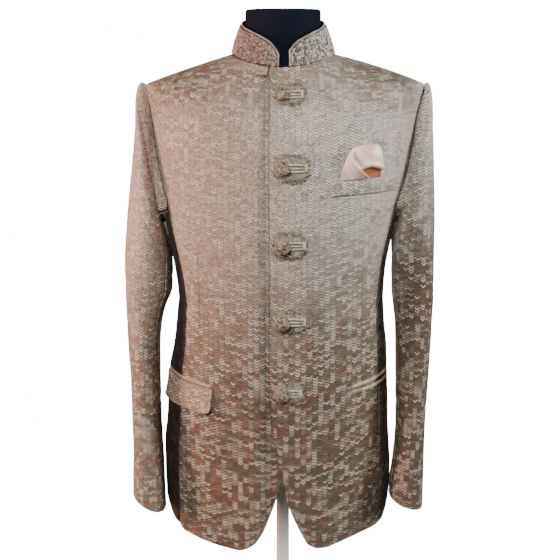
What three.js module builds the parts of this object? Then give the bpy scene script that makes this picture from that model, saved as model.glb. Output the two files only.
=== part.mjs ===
// Stand-collar bandhgala jacket on a limbless dress form with a pole and a round base.
// Millimetres. +Z is up, the front faces -Y, the viewer's right is +X. The origin is the
// middle of the base's underside.
import * as THREE from "three";

// Cloth and gaps
const WALL = 2.6;
const SEAM_GAP = 0.3;
const LIFT = 0.5;

// Rings of the jacket's body. A ring is a squared oval about the Z axis: right and left are its
// half widths, front and back its depths, square its exponent. Its height is h at the sides and
// falls by front_drop at the centre front and by back_drop at the centre back.
const BODY = [
  // h, right, left, front, back, square, front_drop, back_drop
  [150, 178, 196, 121, 112, 2.4, 0, 0],
  [213, 177, 194.5, 121, 112, 2.4, 0, 0],
  [278, 179, 196, 121, 113, 2.4, 0, 0],
  [320, 176.5, 196, 120.5, 113, 2.4, 0, 0],
  [362, 174, 191.5, 120, 113, 2.4, 0, 0],
  [404, 173, 189, 119.5, 112, 2.4, 0, 0],
  [445, 171, 186, 119, 110, 2.4, 0, 0],
  [486, 169.5, 178, 118, 108, 2.4, 0, 0],
  [526, 165, 173, 119, 107, 2.4, 0, 0],
  [567, 163, 169.5, 121, 106, 2.4, 0, 0],
  [606, 165, 173.5, 124, 108, 2.4, 0, 0],
  [650, 172, 181, 127, 112, 2.4, 0, 0],
  [684, 179, 187, 129, 116, 2.4, 0, 0],
  [750, 195, 195, 129, 122, 2.4, 1, 1],
  [810, 204, 202, 127, 125, 2.4, 10, 6],
  [860, 211, 208, 122, 126, 2.35, 32, 14],
  [885, 217, 212, 119, 125, 2.3, 43, 19],
  [902, 221, 214, 116, 121, 2.3, 50, 22],
  [906, 214, 205, 114, 118, 2.25, 48.5, 20],
  [915, 191, 181, 108.5, 110, 2.2, 44, 12],
  [930, 147, 137, 97, 92, 2.12, 33, -1],
  [942, 105, 100, 87, 72, 2.07, 23.5, -11],
  [948, 81, 80, 82, 61, 2.05, 19, -16],
];

const NECK_H = 948;
const SHOULDER_H = 902;
// Away from the shoulder points the rings are eased over this height, so that no ridge crosses them
const EASE = 28;
const EASE_WEIGHTS = [1, 2, 3, 2, 1];

// Soft vertical troughs in the skirt: angle, depth, width in degrees, height of the middle, reach
const FOLDS = [
  [31, 1.6, 7, 300, 120],
  [-38, 2.0, 8, 290, 130],
  [-58, 1.7, 6, 330, 110],
  [56, 1.4, 6, 320, 100],
  [131, 2.2, 8, 280, 110],
  [158, 1.8, 7, 310, 120],
  [-127, 2.3, 8, 290, 120],
  [-152, 1.7, 7, 270, 110],
];

// Closing edges of the fronts as x and z, from the rounded hem corner up
const EDGE_TOP_FRONT = [
  [38, 181], [27, 202], [17.5, 222], [9.6, 243], [4.8, 263], [0, 285], [-6.3, 311],
  [-11, 339], [-15.6, 372], [-18.7, 405], [-20.5, 440],
];
const EDGE_UNDER_FRONT = [
  [-43, 181], [-30, 202], [-22, 222], [-14.2, 243], [-8.5, 263], [-1, 285], [6.3, 311],
  [11, 339], [15.6, 372], [18.7, 405], [20.5, 440],
];
const HEM_TOP_FRONT = [
  [38, 181], [48, 174], [56, 171.7], [69, 172.4], [85, 177.6], [124.5, 189.5], [150, 194.2],
];
const HEM_UNDER_FRONT = [
  [-43, 181], [-56, 172], [-69, 167.8], [-88, 170.5], [-114, 175.6], [-149, 184.5], [-163, 189],
];
const HEM_SEAM_H = 196;
// Hem of a side body: share of the way from its front seam to its back seam, and height
const HEM_SIDE = [[0, 196], [0.08, 201], [0.15, 209], [0.24, 220], [0.33, 228.5], [0.55, 234.5], [1, 232]];
const HEM_BACK_SEAM_H = 232;
const HEM_BACK_H = 235;
const STRAIGHT_H = 440;
const CLOSING_X = -20.5;
const UNDERLAP_X = 20.5;
// The under front lies this much deeper, and comes up to the surface between these x
const UNDER_STEP = 3.3;
const UNDER_STEP_X = [-40, -24];

// Seams between front and side body, and between side body and back: height and angle
const SEAM_FRONT = [[150, 66.5], [500, 66.5], [600, 67.6], [712, 72.9]];
const SEAM_BACK = [[150, 113], [500, 112], [600, 110.6], [716, 104.6]];

// Armhole: middle height, half height
const ARMHOLE_MID = 793;
const ARMHOLE_HALF = 109;
const ARMHOLE_FRONT_TURN = 138;
const ARMHOLE_BACK_TURN = 225.1;
// How many degrees its front edge lies forward of the shoulder line, by the angle round the armhole
const ARMHOLE_REACH = [[0, 4], [45, 6], [70, 6.2], [102, 11], [119, 16.4], [138, 25.6], [180, 28.7]];
// Its back edge lies this far behind the line at middle height, and this much more or less at its ends
const ARMHOLE_BACK_REACH = 15;
const ARMHOLE_BACK_SLANT = 8;

// Sleeve rings: outermost and innermost points of each ring, its middle and half depth in y
const SLEEVE_LEFT = [
  // outer x, outer z, inner x, inner z, y, half depth
  [-221, 906.5, -190.5, 681, 8, 44],
  [-229, 899, -191, 676, 5, 50],
  [-232, 879, -190.5, 669, 0, 56],
  [-233, 846, -188.5, 659, -4, 61],
  [-236.5, 800, -186, 645, -7, 65.5],
  [-243.5, 742, -181.8, 627, -8, 65.5],
  [-250, 682, -178.3, 603, -9, 64],
  [-254, 622, -179, 575, -12, 61.5],
  [-253.3, 572, -189.5, 548, -16, 59],
  [-251.8, 530, -196.5, 517, -21, 57],
  [-249.5, 486, -199, 480, -28, 55],
  [-245.7, 432, -198.5, 428, -37, 53],
  [-244.2, 374, -197.5, 369, -46, 51.5],
  [-242.3, 316, -194, 308, -56, 50.5],
  [-243, 282, -192, 262, -64, 50],
  [-243, 254, -190.5, 224, -69, 49.5],
];
const SLEEVE_RIGHT = [
  [226.5, 906, 181.8, 681, 8, 44],
  [233, 898, 181.5, 676, 5, 50],
  [235.5, 878, 180.5, 669, 0, 56],
  [236.5, 846, 177.6, 659, -4, 61],
  [238, 800, 175.8, 645, -7, 65.5],
  [240.5, 742, 176, 627, -8, 65.5],
  [242.5, 682, 175.6, 603, -9, 64],
  [242.5, 622, 176, 575, -12, 61.5],
  [242.5, 572, 178.5, 548, -16, 59],
  [240.9, 530, 182, 517, -21, 57],
  [238.5, 486, 182.5, 480, -28, 55],
  [235, 432, 183, 428, -37, 53],
  [230.9, 374, 183.5, 369, -46, 51.5],
  [228.5, 312, 179, 310, -58, 50.5],
  [227.5, 268, 173.5, 272, -66, 50],
  [226.5, 233, 172, 248, -72, 49.5],
];
const SLEEVE_SQUARE = 2.15;
// Soft creases across a sleeve: ring position, angle round the ring, depth, lengths along and round
const SLEEVE_FOLDS = [
  [4.2, 95, 2.2, 0.5, 40],
  [7.6, 120, 3.2, 0.42, 42],
  [8.7, 100, 3.0, 0.36, 46],
  [9.8, 80, 2.6, 0.4, 40],
  [9.1, 250, 2.2, 0.5, 36],
  [11.4, 110, 1.8, 0.5, 38],
  [6.3, 265, 1.8, 0.55, 36],
];
const SLEEVE_SEAM_FRONT = 142;
const SLEEVE_SEAM_BACK = 248;
// Half of the gap at a sleeve's seams, as an angle round the ring
const SLEEVE_GAP_TURN = 0.36;
const UPPER_COLS = 12;
const UNDER_COLS = 7;

// Collar: top edge half width, front and back depth; top edge height by angle from the front
const COLLAR_TOP = { half: 64, front: 76, back: 53, square: 2.05 };
const COLLAR_EDGE = [
  [4, 943], [6, 950], [9.5, 957.5], [14, 964.5], [22.6, 971.5], [38, 979.5], [60, 987],
  [80, 993], [110, 999], [145, 1004], [180, 1006],
];
const COLLAR_THICK = 2.8;
const COLLAR_END_LEFT = -5.2;
const COLLAR_END_RIGHT = 7.2;

// Neck strip beside the collar, on the under front
const STRIP_FROM = -46;
const STRIP_TO = -15.5;
const STRIP_DROP = 13;
const STRIP_THICK = 1.2;

// Pockets on the fronts: x of the end near the middle, angle of the outer end, heights at both ends
const WELT = { x0: 72, deg1: 67.2, top0: 759.5, top1: 763, low0: 738.5, low1: 744, thick: 2.4 };
// Folds of the puffed square: height of its ridges, depth of the hollow under its roll
const SQUARE_RIDGE = 1.6;
const SQUARE_HOLLOW = 5;
const SQUARE_ROWS = [
  // z, left x, right x, height off the cloth
  [763.6, 86, 149, 5],
  [770, 86, 148, 8],
  [779, 88, 147.5, 10.5],
  [789, 91, 147, 11.5],
  [798, 94.5, 146, 11],
  [806, 100, 144, 9.5],
  [812, 112, 143, 7],
  [816, 127, 141, 4],
];
const JET_THICK = 1.8;
const JET_FLAP = { x0: -112, z0: 436.5, deg1: -80, z1: 450, half: 3 };
const JET_LOWER = { x0: 107.5, z0: 427.6, deg1: 79, z1: 438.6, half: 2.9 };
const JET_UPPER = { x0: 107.5, z0: 435.6, deg1: 79, z1: 449.6, half: 2.9 };
const FLAP = { x0: -111, z0: 433, deg1: -82, z1: 446.6, depth: 43, thick: 2.4 };
// Its front corner: share of the width that is rounded, how much depth that takes; how far its lower
// edge stands off at the front corner, in the middle and at the outer end
const FLAP_CORNER = { share: 0.19, rise: 13, front: 6, middle: 1.2, outer: 3.5 };

// Closures: height of the button's middle, patch left and right x, patch height
const CLOSURES = [
  [888, -10.5, 33, 33],
  [782, -12, 39, 40],
  [665, -15.5, 36.5, 39],
  [545, -15.5, 38, 34],
  [431, -15.5, 32, 34],
];
const PATCH_THICK = 1.6;
const BUTTON_RADIUS = 10.6;
const BUTTON_RISE = 13.5;
const SHANK_RADIUS = 3.4;
const CORD_RADIUS = 1.35;
const CORD_SIDES = 8;
const CORD_STEPS = 16;

// Dress form and stand
const FORM_BOTTOM = 291;
// Rounding of its lower edge: how far in and how far up each ring lies
const FORM_EDGE = [[12, 0], [3, 2]];
const FORM_EDGE_H = 8;
const FORM_CLEAR = 8;
const FORM_SHOULDER_CLEAR = WALL + 1.0;
const FORM_NECK = [
  // z at the sides, half width, front, back, front_drop, back_drop
  [947, 74.5, 74.5, 56, 19, -14],
  [951.5, 69.5, 71.5, 53, 17, -12],
  [958, 64.5, 69, 50, 14, -9],
  [968, 61, 67, 48, 10, -6],
  [985, 59.3, 66, 47, 4, -2],
  [1010, 59, 65, 46.5, 0, 0],
  [1014.6, 58, 64, 45.5, 0, 0],
  [1016, 55, 61, 42.5, 0, 0],
];
const POLE_RADIUS = 11;
const BASE_RADIUS = 150;
const BASE_THICK = 8;

// Materials
const cloth = { color: 0x8d7f70, roughness: 0.72, metalness: 0 };
const pale = { color: 0xb7aa99, roughness: 0.6, metalness: 0 };
const thread = { color: 0x8a8067, roughness: 0.85, metalness: 0 };
const satin = { color: 0xd8a890, roughness: 0.35, metalness: 0 };
const jersey = { color: 0x14161c, roughness: 0.9, metalness: 0 };
const enamel = { color: 0xeceae6, roughness: 0.4, metalness: 0 };

// Smooth curve through a table, with no overshoot between its points
function curve(xs, ys) {
  const n = xs.length;
  const step = [];
  const slope = [];
  for (let i = 0; i < n - 1; i += 1) {
    step.push(xs[i + 1] - xs[i]);
    slope.push((ys[i + 1] - ys[i]) / (xs[i + 1] - xs[i]));
  }
  const m = [slope[0]];
  for (let i = 1; i < n - 1; i += 1) {
    if (slope[i - 1] * slope[i] <= 0) {
      m.push(0);
    } else {
      const w1 = 2 * step[i] + step[i - 1];
      const w2 = step[i] + 2 * step[i - 1];
      m.push((w1 + w2) / (w1 / slope[i - 1] + w2 / slope[i]));
    }
  }
  m.push(slope[n - 2]);
  return (x) => {
    let i = 0;
    while (i < n - 2 && x > xs[i + 1]) {
      i += 1;
    }
    const t = THREE.MathUtils.clamp((x - xs[i]) / step[i], 0, 1);
    const a = (1 + 2 * t) * (1 - t) * (1 - t) * ys[i];
    const b = t * (1 - t) * (1 - t) * step[i] * m[i];
    const c = t * t * (3 - 2 * t) * ys[i + 1];
    const d = t * t * (t - 1) * step[i] * m[i + 1];
    return a + b + c + d;
  };
}

function column(table, k) {
  return table.map((row) => row[k]);
}

const rad = THREE.MathUtils.degToRad;
const lerp = THREE.MathUtils.lerp;
const smooth = THREE.MathUtils.smoothstep;
const bodyH = column(BODY, 0);
const bodyCurves = [1, 2, 3, 4, 5, 6, 7].map((k) => curve(bodyH, column(BODY, k)));

// Point of a squared oval ring at an angle in degrees, 0 at the front and 90 on the right
function ovalPoint(deg, half, depth, square, z) {
  const s = Math.sin(rad(deg));
  const c = Math.cos(rad(deg));
  const sum = Math.pow(Math.abs(s / half), square) + Math.pow(Math.abs(c / depth), square);
  const r = Math.pow(sum, -1 / square);
  return new THREE.Vector3(r * s, -r * c, z);
}

function foldDepth(deg, h) {
  let sum = 0;
  for (const [at, depth, width, mid, reach] of FOLDS) {
    const a = (deg - at) / width;
    const b = (h - mid) / reach;
    sum += depth * Math.exp(-a * a - b * b);
  }
  return sum;
}

function wrapDeg(deg) {
  return deg > 180 ? deg - 360 : deg;
}

function ringPoint(deg, h) {
  const [right, left, front, back, square, frontDrop, backDrop] = bodyCurves.map((f) => f(h));
  const c = Math.cos(rad(deg));
  const half = Math.sin(rad(deg)) > 0 ? right : left;
  const depth = c > 0 ? front : back;
  const drop = c > 0 ? frontDrop : backDrop;
  const p = ovalPoint(deg, half, depth, square, h - drop * c * c);
  const inward = foldDepth(wrapDeg(deg), h);
  const flat = Math.hypot(p.x, p.y);
  p.x -= (p.x / flat) * inward;
  p.y -= (p.y / flat) * inward;
  return p;
}

// The jacket's outer surface at an angle and a ring height
function bodyPoint(deg, h) {
  const away = 1 - Math.pow(Math.abs(Math.sin(rad(deg))), 6);
  const reach = Math.min(EASE * away, NECK_H - h, h - bodyH[0]);
  if (reach < 0.01) {
    return ringPoint(deg, h);
  }
  const sum = new THREE.Vector3();
  EASE_WEIGHTS.forEach((weight, k) => {
    sum.addScaledVector(ringPoint(deg, h + (reach * (k - 2)) / 2), weight / 9);
  });
  return sum;
}

function bodyNormal(deg, h) {
  const d = 0.6;
  const lowH = Math.max(h - d, bodyH[0]);
  const highH = Math.min(h + d, NECK_H);
  const du = bodyPoint(deg + d, h).sub(bodyPoint(deg - d, h));
  const dv = bodyPoint(deg, highH).sub(bodyPoint(deg, lowH));
  return du.cross(dv).normalize();
}

// Angle of a point of the front at a given x
function degAtX(x, h) {
  const half = x > 0 ? bodyCurves[0](h) : bodyCurves[1](h);
  const depth = bodyCurves[2](h);
  const square = bodyCurves[4](h);
  const y = depth * Math.pow(1 - Math.pow(Math.abs(x) / half, square), 1 / square);
  return THREE.MathUtils.radToDeg(Math.atan2(x, y));
}

// Ring height of a point of the front whose real height is z
function ringAtZ(x, z) {
  let h = z;
  for (let i = 0; i < 12; i += 1) {
    const c = Math.cos(rad(degAtX(x, h)));
    h = z + bodyCurves[5](h) * c * c;
  }
  return h;
}

// Angle of a point of the front whose x and real height are known
function degOn(x, z) {
  return degAtX(x, ringAtZ(x, z));
}

// Ring height of the point at an angle whose real height is z
function ringAt(deg, z) {
  const c = Math.cos(rad(deg));
  let h = z;
  for (let i = 0; i < 12; i += 1) {
    h = z + bodyCurves[5](h) * c * c;
  }
  return h;
}

// Closed shell between an outer and an inner grid of points
function shell(outer, inner) {
  const rows = outer.length;
  const cols = outer[0].length;
  const points = [...outer.flat(), ...inner.flat()];
  const offset = rows * cols;
  const faces = [];
  const quad = (a, b, c, d) => {
    faces.push(a, b, c);
    faces.push(a, c, d);
  };
  const at = (i, j) => i * cols + j;
  for (let i = 0; i < rows - 1; i += 1) {
    for (let j = 0; j < cols - 1; j += 1) {
      quad(at(i, j), at(i, j + 1), at(i + 1, j + 1), at(i + 1, j));
      quad(offset + at(i, j), offset + at(i + 1, j), offset + at(i + 1, j + 1), offset + at(i, j + 1));
    }
  }
  for (let j = 0; j < cols - 1; j += 1) {
    quad(at(0, j + 1), at(0, j), offset + at(0, j), offset + at(0, j + 1));
    const top = rows - 1;
    quad(at(top, j), at(top, j + 1), offset + at(top, j + 1), offset + at(top, j));
  }
  for (let i = 0; i < rows - 1; i += 1) {
    quad(at(i, 0), at(i + 1, 0), offset + at(i + 1, 0), offset + at(i, 0));
    const end = cols - 1;
    quad(at(i + 1, end), at(i, end), offset + at(i, end), offset + at(i + 1, end));
  }
  return solid(points, faces);
}

// Closed solid of stacked rings, with flat fans closing both ends
function stack(rings) {
  const n = rings[0].length;
  const points = rings.flat();
  const faces = [];
  for (let i = 0; i < rings.length - 1; i += 1) {
    for (let j = 0; j < n; j += 1) {
      const k = (j + 1) % n;
      faces.push(i * n + j, i * n + k, (i + 1) * n + k);
      faces.push(i * n + j, (i + 1) * n + k, (i + 1) * n + j);
    }
  }
  const last = (rings.length - 1) * n;
  const middle = (ring) => {
    const sum = new THREE.Vector3();
    ring.forEach((p) => sum.add(p));
    return sum.divideScalar(n);
  };
  const lowMid = points.push(middle(rings[0])) - 1;
  const topMid = points.push(middle(rings[rings.length - 1])) - 1;
  for (let j = 0; j < n; j += 1) {
    const k = (j + 1) % n;
    faces.push(lowMid, k, j);
    faces.push(topMid, last + j, last + k);
  }
  return solid(points, faces);
}

function solid(points, faces) {
  let volume = 0;
  for (let i = 0; i < faces.length; i += 3) {
    const a = points[faces[i]];
    const b = points[faces[i + 1]];
    const c = points[faces[i + 2]];
    volume += a.dot(b.clone().cross(c));
  }
  const index = volume > 0 ? faces : faces.slice().reverse();
  const geometry = new THREE.BufferGeometry();
  const flat = points.flatMap((p) => [p.x, p.y, p.z]);
  geometry.setAttribute("position", new THREE.Float32BufferAttribute(flat, 3));
  geometry.setIndex(index);
  geometry.computeVertexNormals();
  return geometry;
}

const jacket = new THREE.Group();

function add(name, geometry, look) {
  const mesh = new THREE.Mesh(geometry, new THREE.MeshStandardMaterial(look));
  mesh.name = name;
  jacket.add(mesh);
  return mesh;
}

// Wall of cloth under a grid of angles and ring heights; sink moves it in, as under another front
function clothPanel(cells, sink) {
  const outer = [];
  const inner = [];
  for (const row of cells) {
    outer.push([]);
    inner.push([]);
    for (const [deg, h] of row) {
      const n = bodyNormal(deg, h);
      const depth = sink ? sink(deg, h) : 0;
      const p = bodyPoint(deg, h).addScaledVector(n, -depth);
      outer[outer.length - 1].push(p);
      inner[inner.length - 1].push(p.clone().addScaledVector(n, -WALL));
    }
  }
  return shell(outer, inner);
}

const seamFront = curve(column(SEAM_FRONT, 0), column(SEAM_FRONT, 1));
const seamBack = curve(column(SEAM_BACK, 0), column(SEAM_BACK, 1));

// Armhole at an angle round it: 0 at the shoulder, 90 at the front, 180 underneath
const armholeReach = curve(column(ARMHOLE_REACH, 0), column(ARMHOLE_REACH, 1));
function armhole(turn) {
  const c = Math.cos(rad(turn));
  const s = Math.sin(rad(turn));
  const h = ARMHOLE_MID + ARMHOLE_HALF * c;
  const reach = s > 0 ? armholeReach(turn) : ARMHOLE_BACK_REACH - ARMHOLE_BACK_SLANT * c;
  return [90 - reach * s, h];
}

function armholeAtH(h, isFront) {
  const c = THREE.MathUtils.clamp((h - ARMHOLE_MID) / ARMHOLE_HALF, -1, 1);
  const turn = THREE.MathUtils.radToDeg(Math.acos(c));
  return armhole(isFront ? turn : 360 - turn)[0];
}

// Half of the seam gap as an angle at a given ring height
function gapDeg(h) {
  return THREE.MathUtils.radToDeg(SEAM_GAP / 2 / bodyCurves[0](h));
}

const ARMHOLE_LOW_FRONT = armhole(ARMHOLE_FRONT_TURN)[1];
const ARMHOLE_LOW_BACK = armhole(ARMHOLE_BACK_TURN)[1];

// Side edge of a front or back: side seam, then armhole, then shoulder seam
function sideEdge(h, isFront) {
  if (isFront && h < ARMHOLE_LOW_FRONT) {
    return seamFront(h) - gapDeg(h);
  }
  if (!isFront && h < ARMHOLE_LOW_BACK) {
    return seamBack(h) + gapDeg(h);
  }
  if (h < SHOULDER_H) {
    const away = isFront ? -gapDeg(h) : gapDeg(h);
    return armholeAtH(h, isFront) + away;
  }
  return isFront ? 90 - gapDeg(h) : 90 + gapDeg(h);
}

// Ring heights of the rows of points: hem to straight edge, then up to the armhole, then to the neck
const LOW_STEPS = 10;
const MID_ROWS = [474, 510, 546, 582, 620, 652, 684];
const HIGH_ROWS = [742, 770, 800, 830, 856, 878, 893, 902, 906, 915, 930, 941, NECK_H];
const lowShares = [...Array(LOW_STEPS + 1).keys()].map((i) => i / LOW_STEPS);
const lowRows = lowShares.map((t) => lerp(HEM_SEAM_H, STRAIGHT_H, t));
const backLowRows = lowShares.map((t) => lerp(HEM_BACK_SEAM_H, STRAIGHT_H, t));
const frontSeamRows = [...lowRows, ...MID_ROWS, ARMHOLE_LOW_FRONT];
const backSeamRows = [...backLowRows, ...MID_ROWS, ARMHOLE_LOW_BACK];
const FRONT_COLS = 11;

// A front panel: side is 1 on the viewer's right and -1 on the left
function frontCells(edge, hem, closingX, side) {
  const seamX = Math.abs(bodyPoint(side * sideEdge(HEM_SEAM_H, true), HEM_SEAM_H).x);
  const hemX = [...column(hem, 0).map((x) => x * side), seamX];
  const hemZ = curve(hemX, [...column(hem, 1), HEM_SEAM_H]);
  const cells = [];
  const seamAt = (h) => side * sideEdge(h, true);
  const cornerDeg = degAtX(edge[0][0], edge[0][1]);
  for (let i = 0; i <= LOW_STEPS; i += 1) {
    const [x, z] = edge[i];
    const rise = i / LOW_STEPS;
    const from = [degAtX(x, z), z];
    const to = [seamAt(lowRows[i]), lowRows[i]];
    const row = [];
    for (let j = 0; j <= FRONT_COLS; j += 1) {
      const u = j / FRONT_COLS;
      const hemDeg = lerp(cornerDeg, seamAt(HEM_SEAM_H), u);
      const lowZ = hemZ(Math.abs(bodyPoint(hemDeg, HEM_SEAM_H).x));
      const straight = lerp(edge[0][1], HEM_SEAM_H, u);
      const h = lerp(from[1], to[1], u) + (lowZ - straight) * (1 - rise);
      row.push([lerp(from[0], to[0], u), h]);
    }
    cells.push(row);
  }
  for (const h of [...MID_ROWS, ARMHOLE_LOW_FRONT, ...HIGH_ROWS]) {
    const row = [];
    for (let j = 0; j <= FRONT_COLS; j += 1) {
      row.push([lerp(degAtX(closingX, h), seamAt(h), j / FRONT_COLS), h]);
    }
    cells.push(row);
  }
  return cells;
}

function underSink(deg, h) {
  const x = bodyPoint(deg, h).x;
  return UNDER_STEP * smooth(x, UNDER_STEP_X[0], UNDER_STEP_X[1]);
}

add("front_left", clothPanel(frontCells(EDGE_TOP_FRONT, HEM_TOP_FRONT, CLOSING_X, 1)), cloth);
const underCells = frontCells(EDGE_UNDER_FRONT, HEM_UNDER_FRONT, UNDERLAP_X, -1);
add("front_right", clothPanel(underCells, underSink), cloth);

// Back panels meet at a plain seam down the centre
const BACK_COLS = 8;
for (const side of [1, -1]) {
  const cells = [...backSeamRows, ...HIGH_ROWS].map((h, i) => {
    const centre = 180 - THREE.MathUtils.radToDeg(SEAM_GAP / 2 / bodyCurves[3](h));
    const row = [];
    for (let j = 0; j <= BACK_COLS; j += 1) {
      const u = j / BACK_COLS;
      const low = i === 0 ? (HEM_BACK_H - HEM_BACK_SEAM_H) * (1 - u) : 0;
      row.push([side * lerp(centre, sideEdge(h, false), u), h + low]);
    }
    return row;
  });
  add(side > 0 ? "back_left" : "back_right", clothPanel(cells), cloth);
}

// Side bodies end in the lower part of the armhole
const SIDE_COLS = 8;
const hemSide = curve(column(HEM_SIDE, 0), column(HEM_SIDE, 1));
for (const side of [1, -1]) {
  const last = frontSeamRows.length - 1;
  const cells = frontSeamRows.map((frontH, i) => {
    const backH = backSeamRows[i];
    const rise = Math.pow(i / last, 3);
    const row = [];
    for (let j = 0; j <= SIDE_COLS; j += 1) {
      const u = j / SIDE_COLS;
      const [topDeg, topH] = armhole(lerp(ARMHOLE_FRONT_TURN, ARMHOLE_BACK_TURN, u));
      const bump = hemSide(u) - lerp(HEM_SEAM_H, HEM_BACK_SEAM_H, u);
      const low = lerp(frontH, backH, u) + bump * Math.max(0, 1 - i / LOW_STEPS);
      const deg = lerp(seamFront(frontH) + gapDeg(frontH), seamBack(backH) - gapDeg(backH), u);
      const even = lerp(seamFront(ARMHOLE_LOW_FRONT), seamBack(ARMHOLE_LOW_BACK), u);
      const sag = topH - lerp(ARMHOLE_LOW_FRONT, ARMHOLE_LOW_BACK, u);
      row.push([side * (deg + (topDeg - even) * rise), low + sag * rise]);
    }
    return row;
  });
  add(side > 0 ? "side_body_left" : "side_body_right", clothPanel(cells), cloth);
}

// Sleeves: rings from the armhole down to the cuff
function sleeveRing(row, turn, k) {
  const [ox, oz, ix, iz, y, halfY] = row;
  const c = Math.cos(rad(turn));
  const s = Math.sin(rad(turn));
  const cs = Math.sign(c) * Math.pow(Math.abs(c), 2 / SLEEVE_SQUARE);
  const ss = Math.sign(s) * Math.pow(Math.abs(s), 2 / SLEEVE_SQUARE);
  let pinch = 0;
  for (const [at, angle, depth, along, round] of SLEEVE_FOLDS) {
    const a = (k - at) / along;
    const b = (turn - angle) / round;
    pinch += depth * Math.exp(-a * a - b * b);
  }
  const keep = 1 - pinch / halfY;
  const x = (ox + ix) / 2 + ((ox - ix) / 2) * cs * keep;
  const z = (oz + iz) / 2 + ((oz - iz) / 2) * cs * keep;
  return new THREE.Vector3(x, y - halfY * ss * keep, z);
}

function sleeveSurface(table, side) {
  const knots = [0, ...table.map((row, i) => i + 1)];
  const cache = new Map();
  return (turn, v) => {
    const key = turn.toFixed(4);
    if (!cache.has(key)) {
      const [deg, h] = armhole(turn);
      const start = bodyPoint(side * deg, h).addScaledVector(bodyNormal(side * deg, h), LIFT + 0.1);
      const rings = [start, ...table.map((row, i) => sleeveRing(row, turn, i + 1))];
      const axes = ["x", "y", "z"].map((axis) => curve(knots, rings.map((p) => p[axis])));
      cache.set(key, axes);
    }
    const [fx, fy, fz] = cache.get(key);
    return new THREE.Vector3(fx(v), fy(v), fz(v));
  };
}

// Wall of cloth between two angles round a sleeve
function sleevePanel(table, side, turns, cols) {
  const surface = sleeveSurface(table, side);
  const rows = [0, 0.5, ...table.map((row, i) => i + 1)];
  const outer = [];
  const inner = [];
  for (const v of rows) {
    const outRow = [];
    const inRow = [];
    for (let j = 0; j <= cols; j += 1) {
      const turn = lerp(turns[0], turns[1], j / cols);
      const wrapped = (turn + 360) % 360;
      const p = surface(wrapped, v);
      const du = surface((wrapped + 1) % 360, v).sub(surface((wrapped + 359) % 360, v));
      const low = surface(wrapped, Math.min(v + 0.1, table.length));
      const dv = low.sub(surface(wrapped, Math.max(v - 0.1, 0)));
      const n = du.cross(dv).normalize().multiplyScalar(side);
      if (v < 1) {
        n.copy(p.clone().sub(sleeveMiddle(table, v))).normalize();
      }
      outRow.push(p);
      inRow.push(p.clone().addScaledVector(n, -WALL));
    }
    outer.push(outRow);
    inner.push(inRow);
  }
  return shell(outer, inner);
}

// Middle of the sleeve ring nearest to a position along the sleeve
function sleeveMiddle(table, v) {
  const k = Math.max(0, Math.min(table.length - 1, Math.round(v) - 1));
  const [ox, oz, ix, iz, y] = table[k];
  return new THREE.Vector3((ox + ix) / 2, y, (oz + iz) / 2);
}

for (const [table, side, word] of [[SLEEVE_LEFT, -1, "right"], [SLEEVE_RIGHT, 1, "left"]]) {
  const upper = [SLEEVE_SEAM_BACK - 360 + SLEEVE_GAP_TURN, SLEEVE_SEAM_FRONT - SLEEVE_GAP_TURN];
  const under = [SLEEVE_SEAM_FRONT + SLEEVE_GAP_TURN, SLEEVE_SEAM_BACK - SLEEVE_GAP_TURN];
  add(`sleeve_upper_${word}`, sleevePanel(table, side, upper, UPPER_COLS), cloth);
  add(`sleeve_under_${word}`, sleevePanel(table, side, under, UNDER_COLS), cloth);
}

// Collar band standing on the neckline
const collarEdge = curve(column(COLLAR_EDGE, 0), column(COLLAR_EDGE, 1));
const COLLAR_COLS = 34;
const COLLAR_ROWS = 3;
const collarOuter = [];
const collarInner = [];
for (let i = 0; i <= COLLAR_ROWS; i += 1) {
  const v = i / COLLAR_ROWS;
  const outRow = [];
  const inRow = [];
  for (let j = 0; j <= COLLAR_COLS; j += 1) {
    const u = j / COLLAR_COLS;
    const eased = u - Math.sin(2 * Math.PI * u) / (2 * Math.PI) * 0.6;
    const deg = lerp(COLLAR_END_RIGHT, 360 + COLLAR_END_LEFT, eased);
    const base = bodyPoint(deg, NECK_H);
    base.z += LIFT;
    const depth = Math.cos(rad(deg)) > 0 ? COLLAR_TOP.front : COLLAR_TOP.back;
    const topZ = collarEdge(Math.abs(wrapDeg(deg)));
    const top = ovalPoint(deg, COLLAR_TOP.half, depth, COLLAR_TOP.square, 0);
    const full = collarEdge(30 + Math.abs(wrapDeg(deg)) * 0.83) - base.z;
    const share = Math.min(1, (topZ - base.z) / full);
    const p = new THREE.Vector3(lerp(base.x, top.x, v * share), lerp(base.y, top.y, v * share), 0);
    p.z = lerp(base.z, topZ, v);
    const flat = Math.hypot(p.x, p.y);
    outRow.push(p);
    inRow.push(new THREE.Vector3(p.x * (1 - COLLAR_THICK / flat), p.y * (1 - COLLAR_THICK / flat), p.z));
  }
  collarOuter.push(outRow);
  collarInner.push(inRow);
}
add("collar", shell(collarOuter, collarInner), thread);

// Thin piece lying on the front: cellAt gives angle, z and how far its face stands off the cloth
function applied(rows, cols, cellAt, lift) {
  const outer = [];
  const inner = [];
  for (let i = 0; i <= rows; i += 1) {
    outer.push([]);
    inner.push([]);
    for (let j = 0; j <= cols; j += 1) {
      const [deg, z, high] = cellAt(j / cols, i / rows);
      const h = ringAt(deg, z);
      const n = bodyNormal(deg, h);
      const p = bodyPoint(deg, h);
      outer[i].push(p.clone().addScaledVector(n, high));
      inner[i].push(p.clone().addScaledVector(n, lift));
    }
  }
  return shell(outer, inner);
}

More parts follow.
